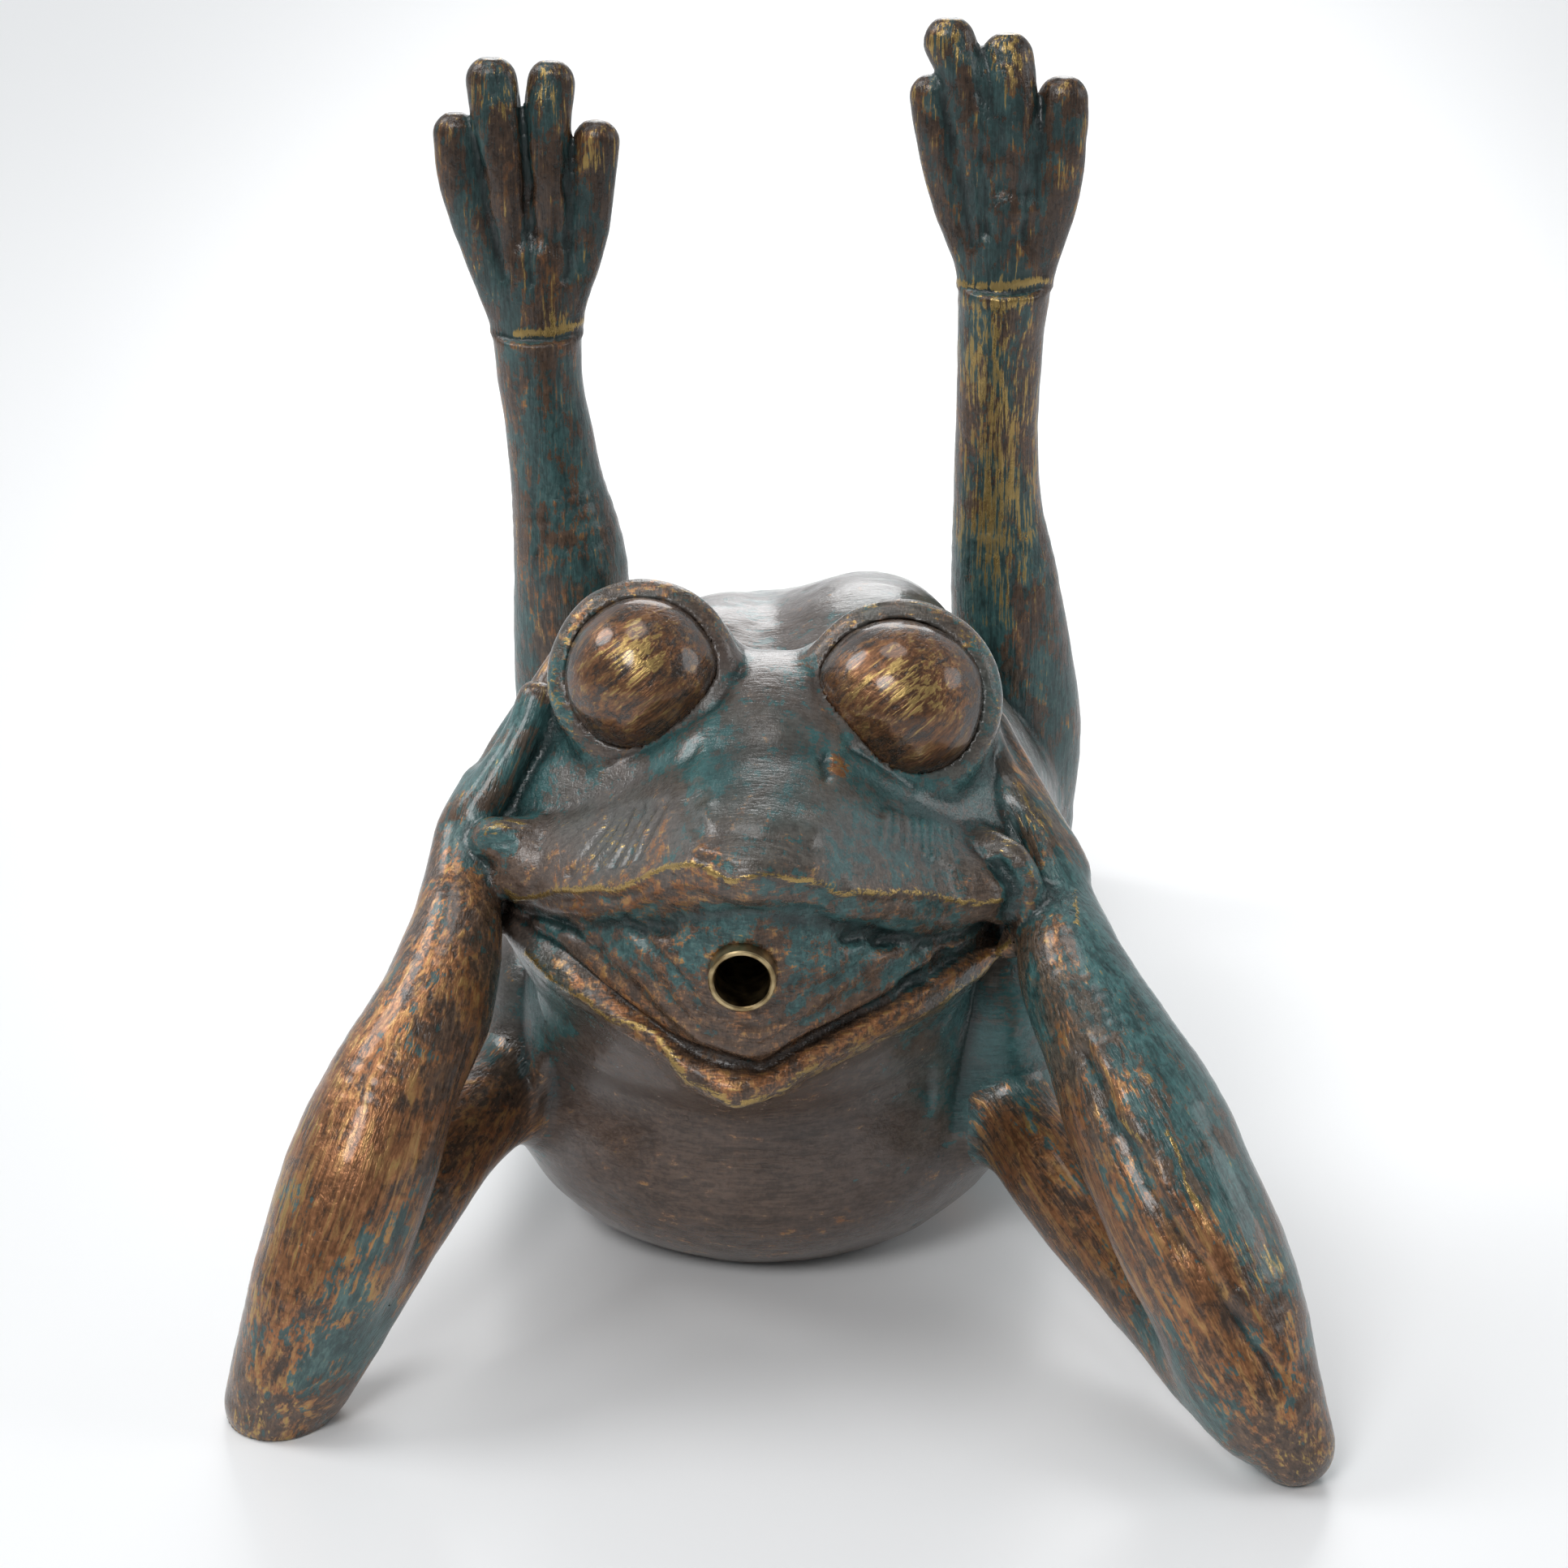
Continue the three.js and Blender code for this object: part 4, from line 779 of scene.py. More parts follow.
GOLD_EDGE = (("gold", 0.21),)
LIP_EDGE = (("gold", 0.17),)
PALE_EDGE = (("gold", 0.08),)
COPPER_ROLL = (("copper", 0.14), ("green", -0.15), ("gold", 0.03), ("grey", -0.9))
TEAL_HOOD = (("green", 0.1), ("copper", 0.06), ("gold", 0.06), ("grey", -0.8))
UPPER_LIP_EDGE = (
    (628, 1096), (640, 1106), (694, 1096), (759, 1096), (794, 1084), (824, 1072), (858, 1067), (903, 1083),
    (958, 1079), (1008, 1084), (1033, 1099), (1067, 1104), (1107, 1097), (1152, 1106), (1207, 1114),
    (1236, 1112),
)
LOWER_LIP_EDGE = (
    (650, 1172), (679, 1204), (769, 1261), (809, 1278), (834, 1303), (849, 1330), (903, 1360), (953, 1348),
    (988, 1320), (1048, 1295), (1102, 1268), (1157, 1238), (1222, 1188), (1247, 1159),
)
PLATE_GROOVE = (
    (650, 1130), (694, 1144), (734, 1178), (779, 1213), (819, 1258), (858, 1293), (893, 1305), (938, 1316),
    (973, 1298), (1033, 1265), (1107, 1223), (1157, 1190), (1242, 1155),
)
LOWER_LIP_ROLL = (
    (690, 1190), (765, 1236), (820, 1280), (868, 1324), (905, 1338), (955, 1330), (1010, 1296), (1090, 1255),
    (1160, 1212), (1225, 1172),
)
RIGHT_LID = (
    (736, 944), (694, 905), (681, 845), (700, 775), (745, 728), (795, 713), (850, 728), (895, 775),
)
LEFT_LID = (
    (992, 815), (1030, 762), (1100, 737), (1168, 752), (1220, 800), (1235, 860), (1222, 920), (1180, 972),
)
LEFT_ARM_GROOVE = ((1335, 1300), (1372, 1385), (1420, 1470), (1500, 1590), (1566, 1690))
LEFT_ARM_RIDGE = ((1350, 1290), (1392, 1375), (1440, 1460), (1520, 1575), (1584, 1675))
STROKES = (
    Stroke("head", UPPER_LIP_EDGE, 0.7, 0.5, GOLD_EDGE),
    Stroke("head", LOWER_LIP_EDGE, 0.7, 0.5, LIP_EDGE),
    Stroke("head", LOWER_LIP_ROLL, 3.2, 0.35, COPPER_ROLL),
    Stroke("head", PLATE_GROOVE, 1.3, -0.9),
    Stroke("head", RIGHT_LID, 2.6, 0.0, TEAL_HOOD),
    Stroke("head", LEFT_LID, 2.6, 0.0, TEAL_HOOD),
    Stroke("head", ((866, 1052), (900, 1060), (958, 1064), (1003, 1069)), 1.1, 0.7),
    Stroke("head", ((860, 1022), (900, 1026), (958, 1031), (1008, 1040)), 2.2, -0.8),
    Stroke("head", ((878, 1019), (858, 955), (868, 925)), 1.8, 0.5),
    Stroke("head", ((848, 1000), (846, 950), (856, 920)), 1.6, -0.4),
    Stroke("head", ((1016, 936), (1020, 954)), 1.2, -0.9),
    Stroke("head", ((1028, 938), (1036, 948)), 1.9, 0.4, (("copper", 0.3),)),
    Stroke("head", ((912, 827), (880, 862), (820, 905), (752, 939)), 1.3, -0.7),
    Stroke("head", ((1002, 818), (1018, 870), (1051, 921), (1122, 966)), 1.3, -0.7),
    Stroke("head", ((1048, 1156), (1107, 1161), (1182, 1157), (1232, 1144)), 1.5, -0.7),
    Stroke("head", ((795, 1147), (828, 1145)), 1.3, -0.9),
    Stroke("head", ((734, 1163), (759, 1172)), 1.3, -0.9),
    Stroke("head", ((1053, 1160), (1092, 1152)), 1.4, -0.9),
    Stroke("head", ((1127, 1177), (1167, 1170)), 1.2, -0.8),
    Stroke("head", ((1114, 1206), (1146, 1210)), 1.2, -0.7),
    Stroke("head", ((1207, 1026), (1258, 1046), (1276, 1089), (1258, 1158)), 1.0, 0.5, PALE_EDGE),
    # painted shade deepens the hollow inside the right fold
    Stroke("head", ((1232, 1066), (1246, 1092), (1240, 1130)), 1.6, -1.1, (("green", 0.2), ("grime", 0.3))),
    Stroke("head", ((606, 1022), (630, 1012), (652, 1020)), 1.2, 0.5, PALE_EDGE),
    Stroke("head", ((608, 1036), (626, 1040)), 1.6, -0.7, (("green", 0.2),)),
    Stroke("left_forearm", LEFT_ARM_GROOVE, 1.8, -0.9),
    Stroke("left_forearm", LEFT_ARM_RIDGE, 2.0, 0.6),
    Stroke("left_forearm", ((1465, 1483), (1520, 1580)), 0.9, -0.5, (("copper", 0.2),)),
    Stroke("left_forearm", ((1433, 1395), (1477, 1490)), 0.5, 0.2, GOLD_EDGE),
    Stroke("left_forearm", ((1377, 1378), (1404, 1407)), 0.5, 0.2, GOLD_EDGE),
    Stroke("left_forearm", ((1321, 1100), (1324, 1136)), 0.6, 0.2, GOLD_EDGE),
    Stroke("right_foot", ((636, 410), (676, 410), (722, 396)), 0.9, 0.3, GOLD_EDGE),
    Stroke("left_foot", ((1184, 350), (1232, 354), (1290, 346)), 0.9, 0.3, GOLD_EDGE),
    Stroke("left_shin", ((1186, 372), (1236, 376), (1284, 372)), 1.2, 0.2, PALE_EDGE),
    Stroke("right_foot", ((644, 120), (650, 240), (655, 349)), 1.1, -0.8),
    Stroke("right_foot", ((699, 170), (700, 260), (698, 343)), 1.1, -0.7),
    Stroke("right_foot", ((586, 170), (602, 260), (622, 340)), 1.1, -0.6),
    Stroke("left_foot", ((1206, 60), (1208, 180), (1214, 290)), 1.1, -0.8),
    Stroke("left_foot", ((1280, 110), (1272, 200), (1258, 300)), 1.1, -0.7),
    Stroke("left_foot", ((1160, 120), (1178, 210), (1196, 300)), 1.1, -0.6),
)
# Rows of like marks, in photo pixels: the first line, the step of each of its ends and the count
GOUGES = (((700, 1078), (752, 1004)), ((17, -4), (13, -3)), 6)
RIBS = (((1090, 1004), (1092, 1036)), ((11, 3), (11, 4)), 8)
PLATE_MIDDLE = 925
PLATE_HEIGHT = 300  # at which the ridges above the plate's groove would meet
PLATE_RIDGES = range(13, 73, 12)  # rise of each ridge above the groove
LIP_RIDGES = range(14, 50, 12)  # fall of each ridge below the lip's edge


def repeated(line, step, count):
    """A line and copies of it, each end moved on by its own step."""
    return [
        [(x + across * i, y + down * i) for (x, y), (across, down) in zip(line, step)]
        for i in range(count)
    ]


def tool_marks():
    """Gouges on the right cheek, ribs on the left one, and ridges in the mouth."""
    strokes = [Stroke("head", line, 0.7, -0.55, PALE_EDGE) for line in repeated(*GOUGES)]
    strokes += [Stroke("head", line, 0.6, 0.45) for line in repeated(*RIBS)]
    for i, rise in enumerate(PLATE_RIDGES):
        line = [
            (x + (PLATE_MIDDLE - x) * rise / PLATE_HEIGHT, y - rise) for x, y in PLATE_GROOVE[2:-1]
        ]
        strokes.append(Stroke("head", line, 0.8, -0.35 if i % 2 else 0.35))
    for i, fall in enumerate(LIP_RIDGES):
        line = [(x, y + fall) for x, y in UPPER_LIP_EDGE[2:-2]]
        strokes.append(Stroke("head", line, 0.7, 0.25 if i % 2 else -0.3))
    return strokes


# Paint: layer, photo pixel, radius in pixels and how much more or less of the layer there is
PAINT = (
    # right hand, forearm and upper arm
    ("green", 600, 960, 60, 0.15), ("green", 585, 1030, 50, 0.12), ("green", 655, 880, 30, 0.12),
    ("green", 548, 1110, 30, 0.12), ("green", 475, 1510, 45, 0.16), ("green", 425, 1590, 50, 0.16),
    ("green", 400, 1670, 50, 0.16), ("green", 465, 1640, 40, 0.14), ("green", 520, 1440, 30, 0.12),
    ("green", 560, 1560, 50, 0.12), ("green", 370, 1710, 40, 0.1), ("green", 430, 1380, 90, -0.12),
    ("green", 370, 1550, 80, -0.1),
    ("copper", 545, 1180, 50, 0.12), ("copper", 480, 1260, 80, 0.17), ("copper", 440, 1400, 90, 0.2),
    ("copper", 390, 1540, 90, 0.17), ("copper", 340, 1660, 70, 0.1), ("copper", 600, 1400, 60, 0.08),
    ("gold", 460, 1190, 40, 0.1), ("gold", 410, 1270, 45, 0.1), ("gold", 370, 1370, 50, 0.1),
    ("gold", 335, 1480, 50, 0.1), ("gold", 320, 1590, 50, 0.08),
    ("gold", 330, 1740, 50, 0.08), ("gold", 600, 1020, 30, 0.06), ("gold", 668, 850, 20, 0.08),
    # left hand, forearm and upper arm
    ("green", 1300, 1080, 45, 0.16), ("green", 1350, 1160, 60, 0.18), ("green", 1420, 1250, 80, 0.2),
    ("green", 1480, 1340, 70, 0.18), ("green", 1540, 1440, 60, 0.16), ("green", 1590, 1560, 50, 0.14),
    ("green", 1620, 1660, 40, 0.1), ("green", 1400, 1660, 50, 0.12), ("green", 1480, 1740, 50, 0.14),
    ("copper", 1420, 1230, 110, -0.14), ("copper", 1500, 1380, 90, -0.1), ("copper", 1580, 1560, 60, -0.08),
    ("copper", 1370, 1350, 50, 0.12), ("copper", 1420, 1460, 60, 0.14), ("copper", 1490, 1570, 60, 0.14),
    ("copper", 1560, 1680, 50, 0.12), ("copper", 1265, 1400, 60, 0.16), ("copper", 1330, 1480, 60, 0.12),
    ("copper", 1400, 1560, 60, 0.1),
    ("gold", 1265, 1000, 40, 0.12), ("gold", 1555, 1560, 35, 0.14), ("gold", 1610, 1790, 45, 0.1),
    ("gold", 1265, 1390, 45, 0.07),
    # body
    ("green", 1240, 1260, 60, 0.16), ("green", 1200, 1380, 50, 0.08), ("green", 660, 1230, 40, 0.16),
    ("green", 680, 1290, 30, 0.12), ("green", 1300, 960, 50, 0.08), ("green", 900, 1480, 230, -0.15),
    ("green", 880, 1390, 150, -0.12), ("copper", 900, 1450, 170, 0.03),
    # face and mouth
    ("green", 1150, 1020, 90, 0.05), ("green", 860, 930, 40, 0.1), ("green", 1060, 950, 60, 0.08),
    ("green", 820, 915, 45, 0.1), ("green", 740, 1030, 80, -0.1), ("copper", 900, 965, 40, 0.08),
    ("gold", 730, 1040, 90, 0.07), ("copper", 720, 1060, 70, 0.05),
    ("green", 900, 1135, 80, 0.14), ("green", 1130, 1190, 80, 0.16), ("green", 1010, 1150, 60, 0.12),
    ("green", 720, 1150, 50, 0.1), ("green", 790, 1180, 40, 0.1), ("green", 960, 1230, 60, 0.14),
    ("green", 860, 1200, 50, 0.12), ("copper", 800, 1215, 40, 0.08), ("copper", 1010, 1210, 50, 0.06),
    ("copper", 850, 1250, 50, 0.06), ("copper", 950, 1275, 50, 0.06), ("copper", 830, 1110, 90, 0.12),
    ("copper", 760, 1120, 60, 0.08), ("copper", 980, 1100, 60, 0.08), ("copper", 1100, 1130, 60, 0.06),
    ("gold", 1010, 1230, 40, 0.06),
    ("wash", 940, 965, 110, 0.45), ("wash", 1130, 1000, 120, 0.45), ("wash", 860, 930, 60, 0.3),
    # painted reflection: the cool wash on the frog's right cheek stands in for the sky's reflection there
    ("wash", 750, 1030, 80, 0.25),
    ("wash", 1240, 1260, 80, 0.7), ("wash", 660, 1230, 60, 0.7), ("wash", 1300, 960, 60, 0.4),
    ("wash", 1180, 1330, 80, 0.5), ("wash", 700, 770, 60, 0.35), ("wash", 800, 720, 60, 0.35),
    ("wash", 1100, 745, 80, 0.4), ("wash", 1225, 850, 50, 0.35), ("wash", 1420, 1250, 130, 0.4),
    ("wash", 1540, 1430, 80, 0.4), ("wash", 620, 930, 70, 0.5),
    ("green", 640, 900, 50, 0.15), ("copper", 640, 910, 60, -0.15),
    ("grey", 800, 1170, 80, -0.6), ("grey", 930, 1150, 110, -0.6), ("grey", 1090, 1160, 110, -0.6),
    ("grey", 900, 1260, 90, -0.6), ("grey", 1000, 1240, 80, -0.6), ("grey", 1150, 1130, 80, -0.4),
    ("grey", 625, 1050, 60, -0.7), ("grey", 1255, 1090, 60, -0.7), ("grey", 890, 1470, 170, -0.6),
    # painted shade: darker patches where the nose, the left cheek, the chest beside both arms and the gaps
    # by the hands lie in shade
    ("grime", 940, 950, 80, 0.55), ("grime", 1110, 1030, 90, 0.35), ("grime", 1235, 1270, 60, 0.45),
    ("grime", 655, 1240, 45, 0.4), ("grime", 640, 950, 35, 0.4), ("grime", 1290, 1130, 40, 0.4),
    # legs and feet
    ("green", 700, 600, 60, 0.1), ("green", 690, 480, 40, 0.1), ("green", 1210, 380, 50, 0.08),
    ("green", 1190, 690, 40, 0.1), ("green", 1290, 850, 50, 0.1), ("green", 1260, 600, 40, 0.06),
    ("copper", 650, 500, 50, 0.06), ("copper", 670, 720, 60, 0.06), ("copper", 1240, 560, 60, 0.06),
    ("gold", 1205, 420, 55, 0.13), ("gold", 1240, 480, 55, 0.1), ("gold", 1240, 545, 60, 0.11),
    ("gold", 1225, 605, 55, 0.1), ("gold", 1225, 665, 55, 0.13), ("gold", 1240, 740, 50, 0.08),
    ("gold", 1250, 365, 30, 0.08), ("gold", 690, 395, 25, 0.1),
    ("gold", 735, 200, 25, 0.1), ("gold", 680, 110, 30, 0.07), ("gold", 1240, 60, 30, 0.1),
    ("gold", 1160, 60, 30, 0.07), ("gold", 620, 130, 30, 0.06),
)
# painted highlight: more gold and copper in each eyeball's middle, where the light's glow falls
EYE_HIGHLIGHT_PAINT = (
    ("gold", 780, 812, 40, 0.17), ("copper", 780, 812, 70, 0.1),
    ("gold", 1118, 850, 46, 0.17), ("copper", 1118, 850, 76, 0.1),
)
# the last layer is painted shade, which darkens the paint
LAYERS = ("green", "copper", "gold", "wash", "grey", "grime")
STROKE_SWAY = 0.7  # how far a stroke wanders, in millimetres
SWAY_SIZE = 6.0
STROKE_UNEVEN = 0.5  # how much a stroke's lift varies
UNEVEN_SIZE = 4.0
STROKE_REACH = 3.0  # widths at which nothing of a stroke is left
DULL_PIECES = ("torso", "head", "right_thigh", "left_thigh")
# Paint ends between these cosines of the angle between a surface and the photo's view
PAINT_ENDS = (-0.3, 0.1)
# Patches on the sides that the photo doesn't show: the mean of a layer and how much it varies
FAR_PATCH = 30.0
FAR_LAYERS = {"green": (0.07, 0.2), "copper": (0.04, 0.16), "wash": (0.12, 0.4)}


def painted(points, normals, paint):
    """How much more or less of each layer there is at points: as the photo shows it, or in patches."""
    pixels, _ = to_pixels(points)
    view = CAMERA_PLACE - points
    cosine = (normals * view).sum(1) / np.linalg.norm(view, axis=1)
    facing = np.interp(cosine, PAINT_ENDS, (0, 1))
    layers = {layer: np.zeros(len(points)) for layer in LAYERS}
    for layer, across, down, radius, amount in paint:
        near = ((pixels - (across, down)) ** 2).sum(1) / radius**2
        layers[layer] += amount * np.exp(-near) * facing
    for seed, (layer, (mean, swing)) in enumerate(FAR_LAYERS.items(), 11):
        layers[layer] += (mean + swing * lattice_noise(points, FAR_PATCH, seed)) * (1 - facing)
    return layers


def distance_to_line(pixels, line):
    nearest = np.full(len(pixels), np.inf)
    for start, end in zip(line[:-1], line[1:]):
        a = np.array(start, float)
        along = np.array(end, float) - a
        offset = pixels - a
        t = np.clip(offset @ along / (along @ along), 0, 1)
        nearest = np.minimum(nearest, np.linalg.norm(offset - t[:, None] * along, axis=1))
    return nearest


RELAX_ROUNDS = 4
RELAX_SHARE = 0.6  # how far a vertex goes towards the mean of its neighbours
RELAX_STEP = 0.5  # farthest step back to the surface, in voxels
FLOOR_FLAT = 0.4  # what lies lower than this stays flat on the floor
CAST_LUMPS = ((0.28, 11, 1), (0.12, 4.2, 2))
EYE_LUMPS = ((0.35, 9, 5), (0.08, 2.5, 6))
EYE_LESS = 0.3  # how much the uneven eyeball is smaller than its radii
FINE_ROUNDS = 6
BROAD_ROUNDS = 40
FINE_HOLLOW = 2.0  # how much dirt and painted shade a millimetre of a fine or a broad hollow holds
BROAD_HOLLOW = 0.4


class Sculpture:
    """The whole sculpted surface and what is painted on it."""

    def __init__(self, step):
        field, label, low = voxels(step)
        points, quads, pairs, outer = net(field, label)
        self.pairs = pairs
        self.quads = quads
        skin = (pairs == AIR).any(1)
        skin_quads = np.where((pairs[:, :1] == AIR), quads[:, ::-1], quads)[skin]
        self.links = neighbours(skin_quads)
        self.outer = outer
        self._relax(points, field, skin_quads, pairs[skin].max(1))
        self.points = low + points * step
        self.normals = vertex_normals(self.points, skin_quads)
        self.piece = np.zeros(len(points), int)
        self.piece[skin_quads.ravel()] = np.repeat(pairs[skin].max(1), 4)
        self.drawn = {layer: np.zeros(len(points)) for layer in LAYERS}
        self._lumps()
        self._draw(list(STROKES) + tool_marks())
        self.normals = vertex_normals(self.points, skin_quads)
        self.layers = painted(self.points, self.normals, PAINT)
        for layer in LAYERS:
            self.layers[layer] += self.drawn[layer]
        self._dirt_shade_and_ground()

    def _relax(self, points, field, skin_quads, owners):
        """Evens out the net and lays it back on the surface, and draws the seams smooth."""
        start, end = self.links
        low_owner = np.full(len(points), len(PIECES) + 1)
        high_owner = np.zeros(len(points))
        np.minimum.at(low_owner, skin_quads.ravel(), np.repeat(owners, 4))
        np.maximum.at(high_owner, skin_quads.ravel(), np.repeat(owners, 4))
        seam = self.outer & (low_owner < high_owner)
        along_seam = seam[start] & seam[end]
        seam_links = (start[along_seam], end[along_seam])
        for _ in range(RELAX_ROUNDS):
            even = averaged(points, self.links, 1)
            even_seam = averaged(points, seam_links, 1)
            even[seam] = even_seam[seam]
            points[self.outer] += RELAX_SHARE * (even - points)[self.outer]
            value, slope = read_field(field, points[self.outer])
            length = np.maximum((slope * slope).sum(1), 1e-4)
            move = slope * (value / length)[:, None]
            points[self.outer] -= np.clip(move, -RELAX_STEP, RELAX_STEP)

    def _lumps(self):
        """The uneven surface that hand modelling leaves."""
        lift = lumps(self.points, CAST_LUMPS)
        lift[(self.points[:, 2] < FLOOR_FLAT) | ~self.outer] = 0
        self.points = self.points + self.normals * lift[:, None]

    def _draw(self, strokes):
        """Ridges, grooves and lines of paint along strokes."""
        pixels, scale = to_pixels(self.points)
        sway = np.stack([lattice_noise(self.points, SWAY_SIZE, seed) for seed in (7, 8)], 1)
        pixels = pixels + sway * (STROKE_SWAY * scale)[:, None]
        uneven = 1 + STROKE_UNEVEN * lattice_noise(self.points, UNEVEN_SIZE, 9)
        facing = (self.normals * (CAMERA_PLACE - self.points)).sum(1) > 0
        lift = np.zeros(len(self.points))
        for stroke in strokes:
            line = np.array(stroke.line, float)
            room = STROKE_REACH * stroke.width * scale.max()
            inside = np.all((pixels > line.min(0) - room) & (pixels < line.max(0) + room), axis=1)
            chosen = np.flatnonzero(inside & facing & (self.piece == PIECES.index(stroke.piece) + 1))
            gap = distance_to_line(pixels[chosen], line) / scale[chosen]
            weight = np.exp(-((gap / stroke.width) ** 2))
            lift[chosen] += stroke.lift * weight * uneven[chosen]
            for layer, amount in stroke.paint:
                self.drawn[layer][chosen] += amount * weight
        self.points = self.points + self.normals * lift[:, None]

    def _dirt_shade_and_ground(self):
        """Dirt and painted shade in the hollows, the painted patches of shade, and the dull ground of the
        body, which fades out past its seams.
        """
        fine = averaged(self.points, self.links, FINE_ROUNDS)
        broad = averaged(fine, self.links, BROAD_ROUNDS)
        fine_hollow = ((fine - self.points) * self.normals).sum(1)
        broad_hollow = ((broad - self.points) * self.normals).sum(1)
        # painted shade: the hollows and the painted patches of shade darken the paint
        hollow = FINE_HOLLOW * fine_hollow + BROAD_HOLLOW * broad_hollow + self.layers.pop("grime")
        self.layers["hollow"] = np.clip(hollow, -1, 1)
        dull = np.isin(self.piece, [PIECES.index(piece) + 1 for piece in DULL_PIECES])
        ground = averaged(dull[:, None].astype(float), self.links, BROAD_ROUNDS)[:, 0]
        self.layers["grey"] = np.clip(ground + self.layers["grey"], 0, 1)


sculpted = {}


def sculpture():
    """The sculpture, made once."""
    if "frog" not in sculpted:
        settings = bpy.context.scene.frog_sculpt
        step = settings.voxel
        sculpted["frog"] = Sculpture(step / MM)
    return sculpted["frog"]


# Meshes

BRUSH_DIRECTIONS = {
    "torso": (1, 0, 0),
    "head": (1, 0, 0),
    "right_upper_arm": (0.55, 0.7, 0.45),
    "left_upper_arm": (-0.55, 0.7, 0.45),
    "right_forearm": (0.3, 0.45, 0.85),
    "left_forearm": (-0.45, 0.5, 0.75),
}
UPRIGHT = (0, 0.1, 1)
BRUSH_SHORTER = {"head": 3.0, "torso": 1.5}  # how many times shorter the marks are
EYE_BRUSH = (0.75, 0.2, 0.6)
EYE_RIM_SHADE = (1.6, -0.3)  # growth of the painted shade towards an eye's rim, and what it starts from


def brush_frame(direction):
    """Axes along and across the brush."""
    along = np.array(direction, float) / np.linalg.norm(direction)
    across = np.cross(along, (0.0, 1.0, 0.05))
    across /= np.linalg.norm(across)
    return np.stack([along, across, np.cross(along, across)], 1)


def mesh_object(name, points, faces, normals=None):
    """A mesh object from points in millimetres in the sculpting frame, and faces of equal size."""
    mesh = bpy.data.meshes.new(name)
    mesh.vertices.add(len(points))
    mesh.vertices.foreach_set("co", (points * MM + ORIGIN).astype(np.float32).ravel())
    sides = faces.shape[1]
    mesh.loops.add(faces.size)
    mesh.loops.foreach_set("vertex_index", faces.astype(np.int32).ravel())
    mesh.polygons.add(len(faces))
    mesh.polygons.foreach_set("loop_start", np.arange(0, faces.size, sides, dtype=np.int32))
    mesh.update(calc_edges=True)
    mesh.validate()
    mesh.polygons.foreach_set("use_smooth", np.ones(len(mesh.polygons), bool))
    if normals is not None:
        mesh.normals_split_custom_set_from_vertices(normals.tolist())
    obj = bpy.data.objects.new(name, mesh)
    bpy.context.scene.collection.objects.link(obj)
    return obj


def store(obj, name, values):
    """Keeps a number or a vector for each vertex."""
    kind, key = ("FLOAT", "value") if values.ndim == 1 else ("FLOAT_VECTOR", "vector")
    stored = obj.data.attributes.new(name, kind, "POINT")
    stored.data.foreach_set(key, values.astype(np.float32).ravel())


def dress(obj, node, material):
    """Puts a piece in the place of its solid."""
    obj.data.materials.append(material)
    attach(obj, "root")
    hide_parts(node)


def casting(node, material):
    """One casting, cut from the sculpture along its seams."""
    frog = sculpture()
    number = PIECES.index(node) + 1
    first = frog.pairs[:, 0] == number
    second = frog.pairs[:, 1] == number
    faces = np.concatenate([frog.quads[first], frog.quads[second][:, ::-1]])
    used, faces = np.unique(faces, return_inverse=True)
    faces = faces.reshape(-1, 4)
    normals = np.where(frog.outer[used, None], frog.normals[used], 0)
    obj = mesh_object("cast_" + node, frog.points[used], faces, normals)
    for layer, values in frog.layers.items():
        store(obj, layer, values[used])
    direction = BRUSH_DIRECTIONS.get(node, UPRIGHT)
    shorter = (BRUSH_SHORTER.get(node, 1), 1, 1)
    store(obj, "brush", frog.points[used] @ brush_frame(direction) * shorter)
    dress(obj, node, material)
    return obj


def eyeball(node, material):
    """A slightly uneven ball."""
    eye = EYES[node]
    ball_mesh = bmesh.new()
    bmesh.ops.create_icosphere(ball_mesh, subdivisions=6, radius=1)
    unit = np.array([v.co[:] for v in ball_mesh.verts])
    faces = np.array([[v.index for v in face.verts] for face in ball_mesh.faces])
    ball_mesh.free()
    points = eye.centre + unit * eye.radii
    lift = lumps(points, EYE_LUMPS) - EYE_LESS
    points = points + unit * lift[:, None]
    obj = mesh_object("ball_" + node, points, faces)
    layers = painted(points, unit, EYE_HIGHLIGHT_PAINT)
    # painted shade: the ball darkens from its middle towards its rim
    rim = 1 - np.clip(unit @ EYE_AXIS, 0, 1)
    growth, start = EYE_RIM_SHADE
    layers["hollow"] = np.clip(growth * rim + start + layers.pop("grime"), 0, 1)
    layers["grey"] = np.zeros(len(points))
    for layer, values in layers.items():
        store(obj, layer, values)
    store(obj, "brush", points @ brush_frame(EYE_BRUSH))
    dress(obj, node, material)
    return obj


def turned(name, outline, height, segments=72):
    """A ring turned about an axis along y from an outline of radius and y."""
    outline = np.array(outline, float)
    angles = np.linspace(0, 2 * math.pi, segments, endpoint=False)
    radius, along = outline.T
    rings = [
        np.stack([radius * math.sin(a), along, height + radius * math.cos(a)], 1) for a in angles
    ]
    count = len(outline)
    faces = []
    for s in range(segments):
        for i in range(count):
            near, far = s * count, ((s + 1) % segments) * count
            faces.append((near + i, far + i, far + (i + 1) % count, near + (i + 1) % count))
    obj = mesh_object(name, np.concatenate(rings), np.array(faces))
    obj.data.set_sharp_from_angle(angle=math.radians(35))
    return obj


# Shader nodes

def add_node(tree, kind, inputs=None, **settings):
    """A shader node with its settings, and its inputs set or linked."""
    node = tree.nodes.new("ShaderNode" + kind)
    for key, value in settings.items():
        setattr(node, key, value)
    for key, value in (inputs or {}).items():
        if isinstance(value, bpy.types.NodeSocket):
            tree.links.new(value, node.inputs[key])
        else:
            node.inputs[key].default_value = value
    return node


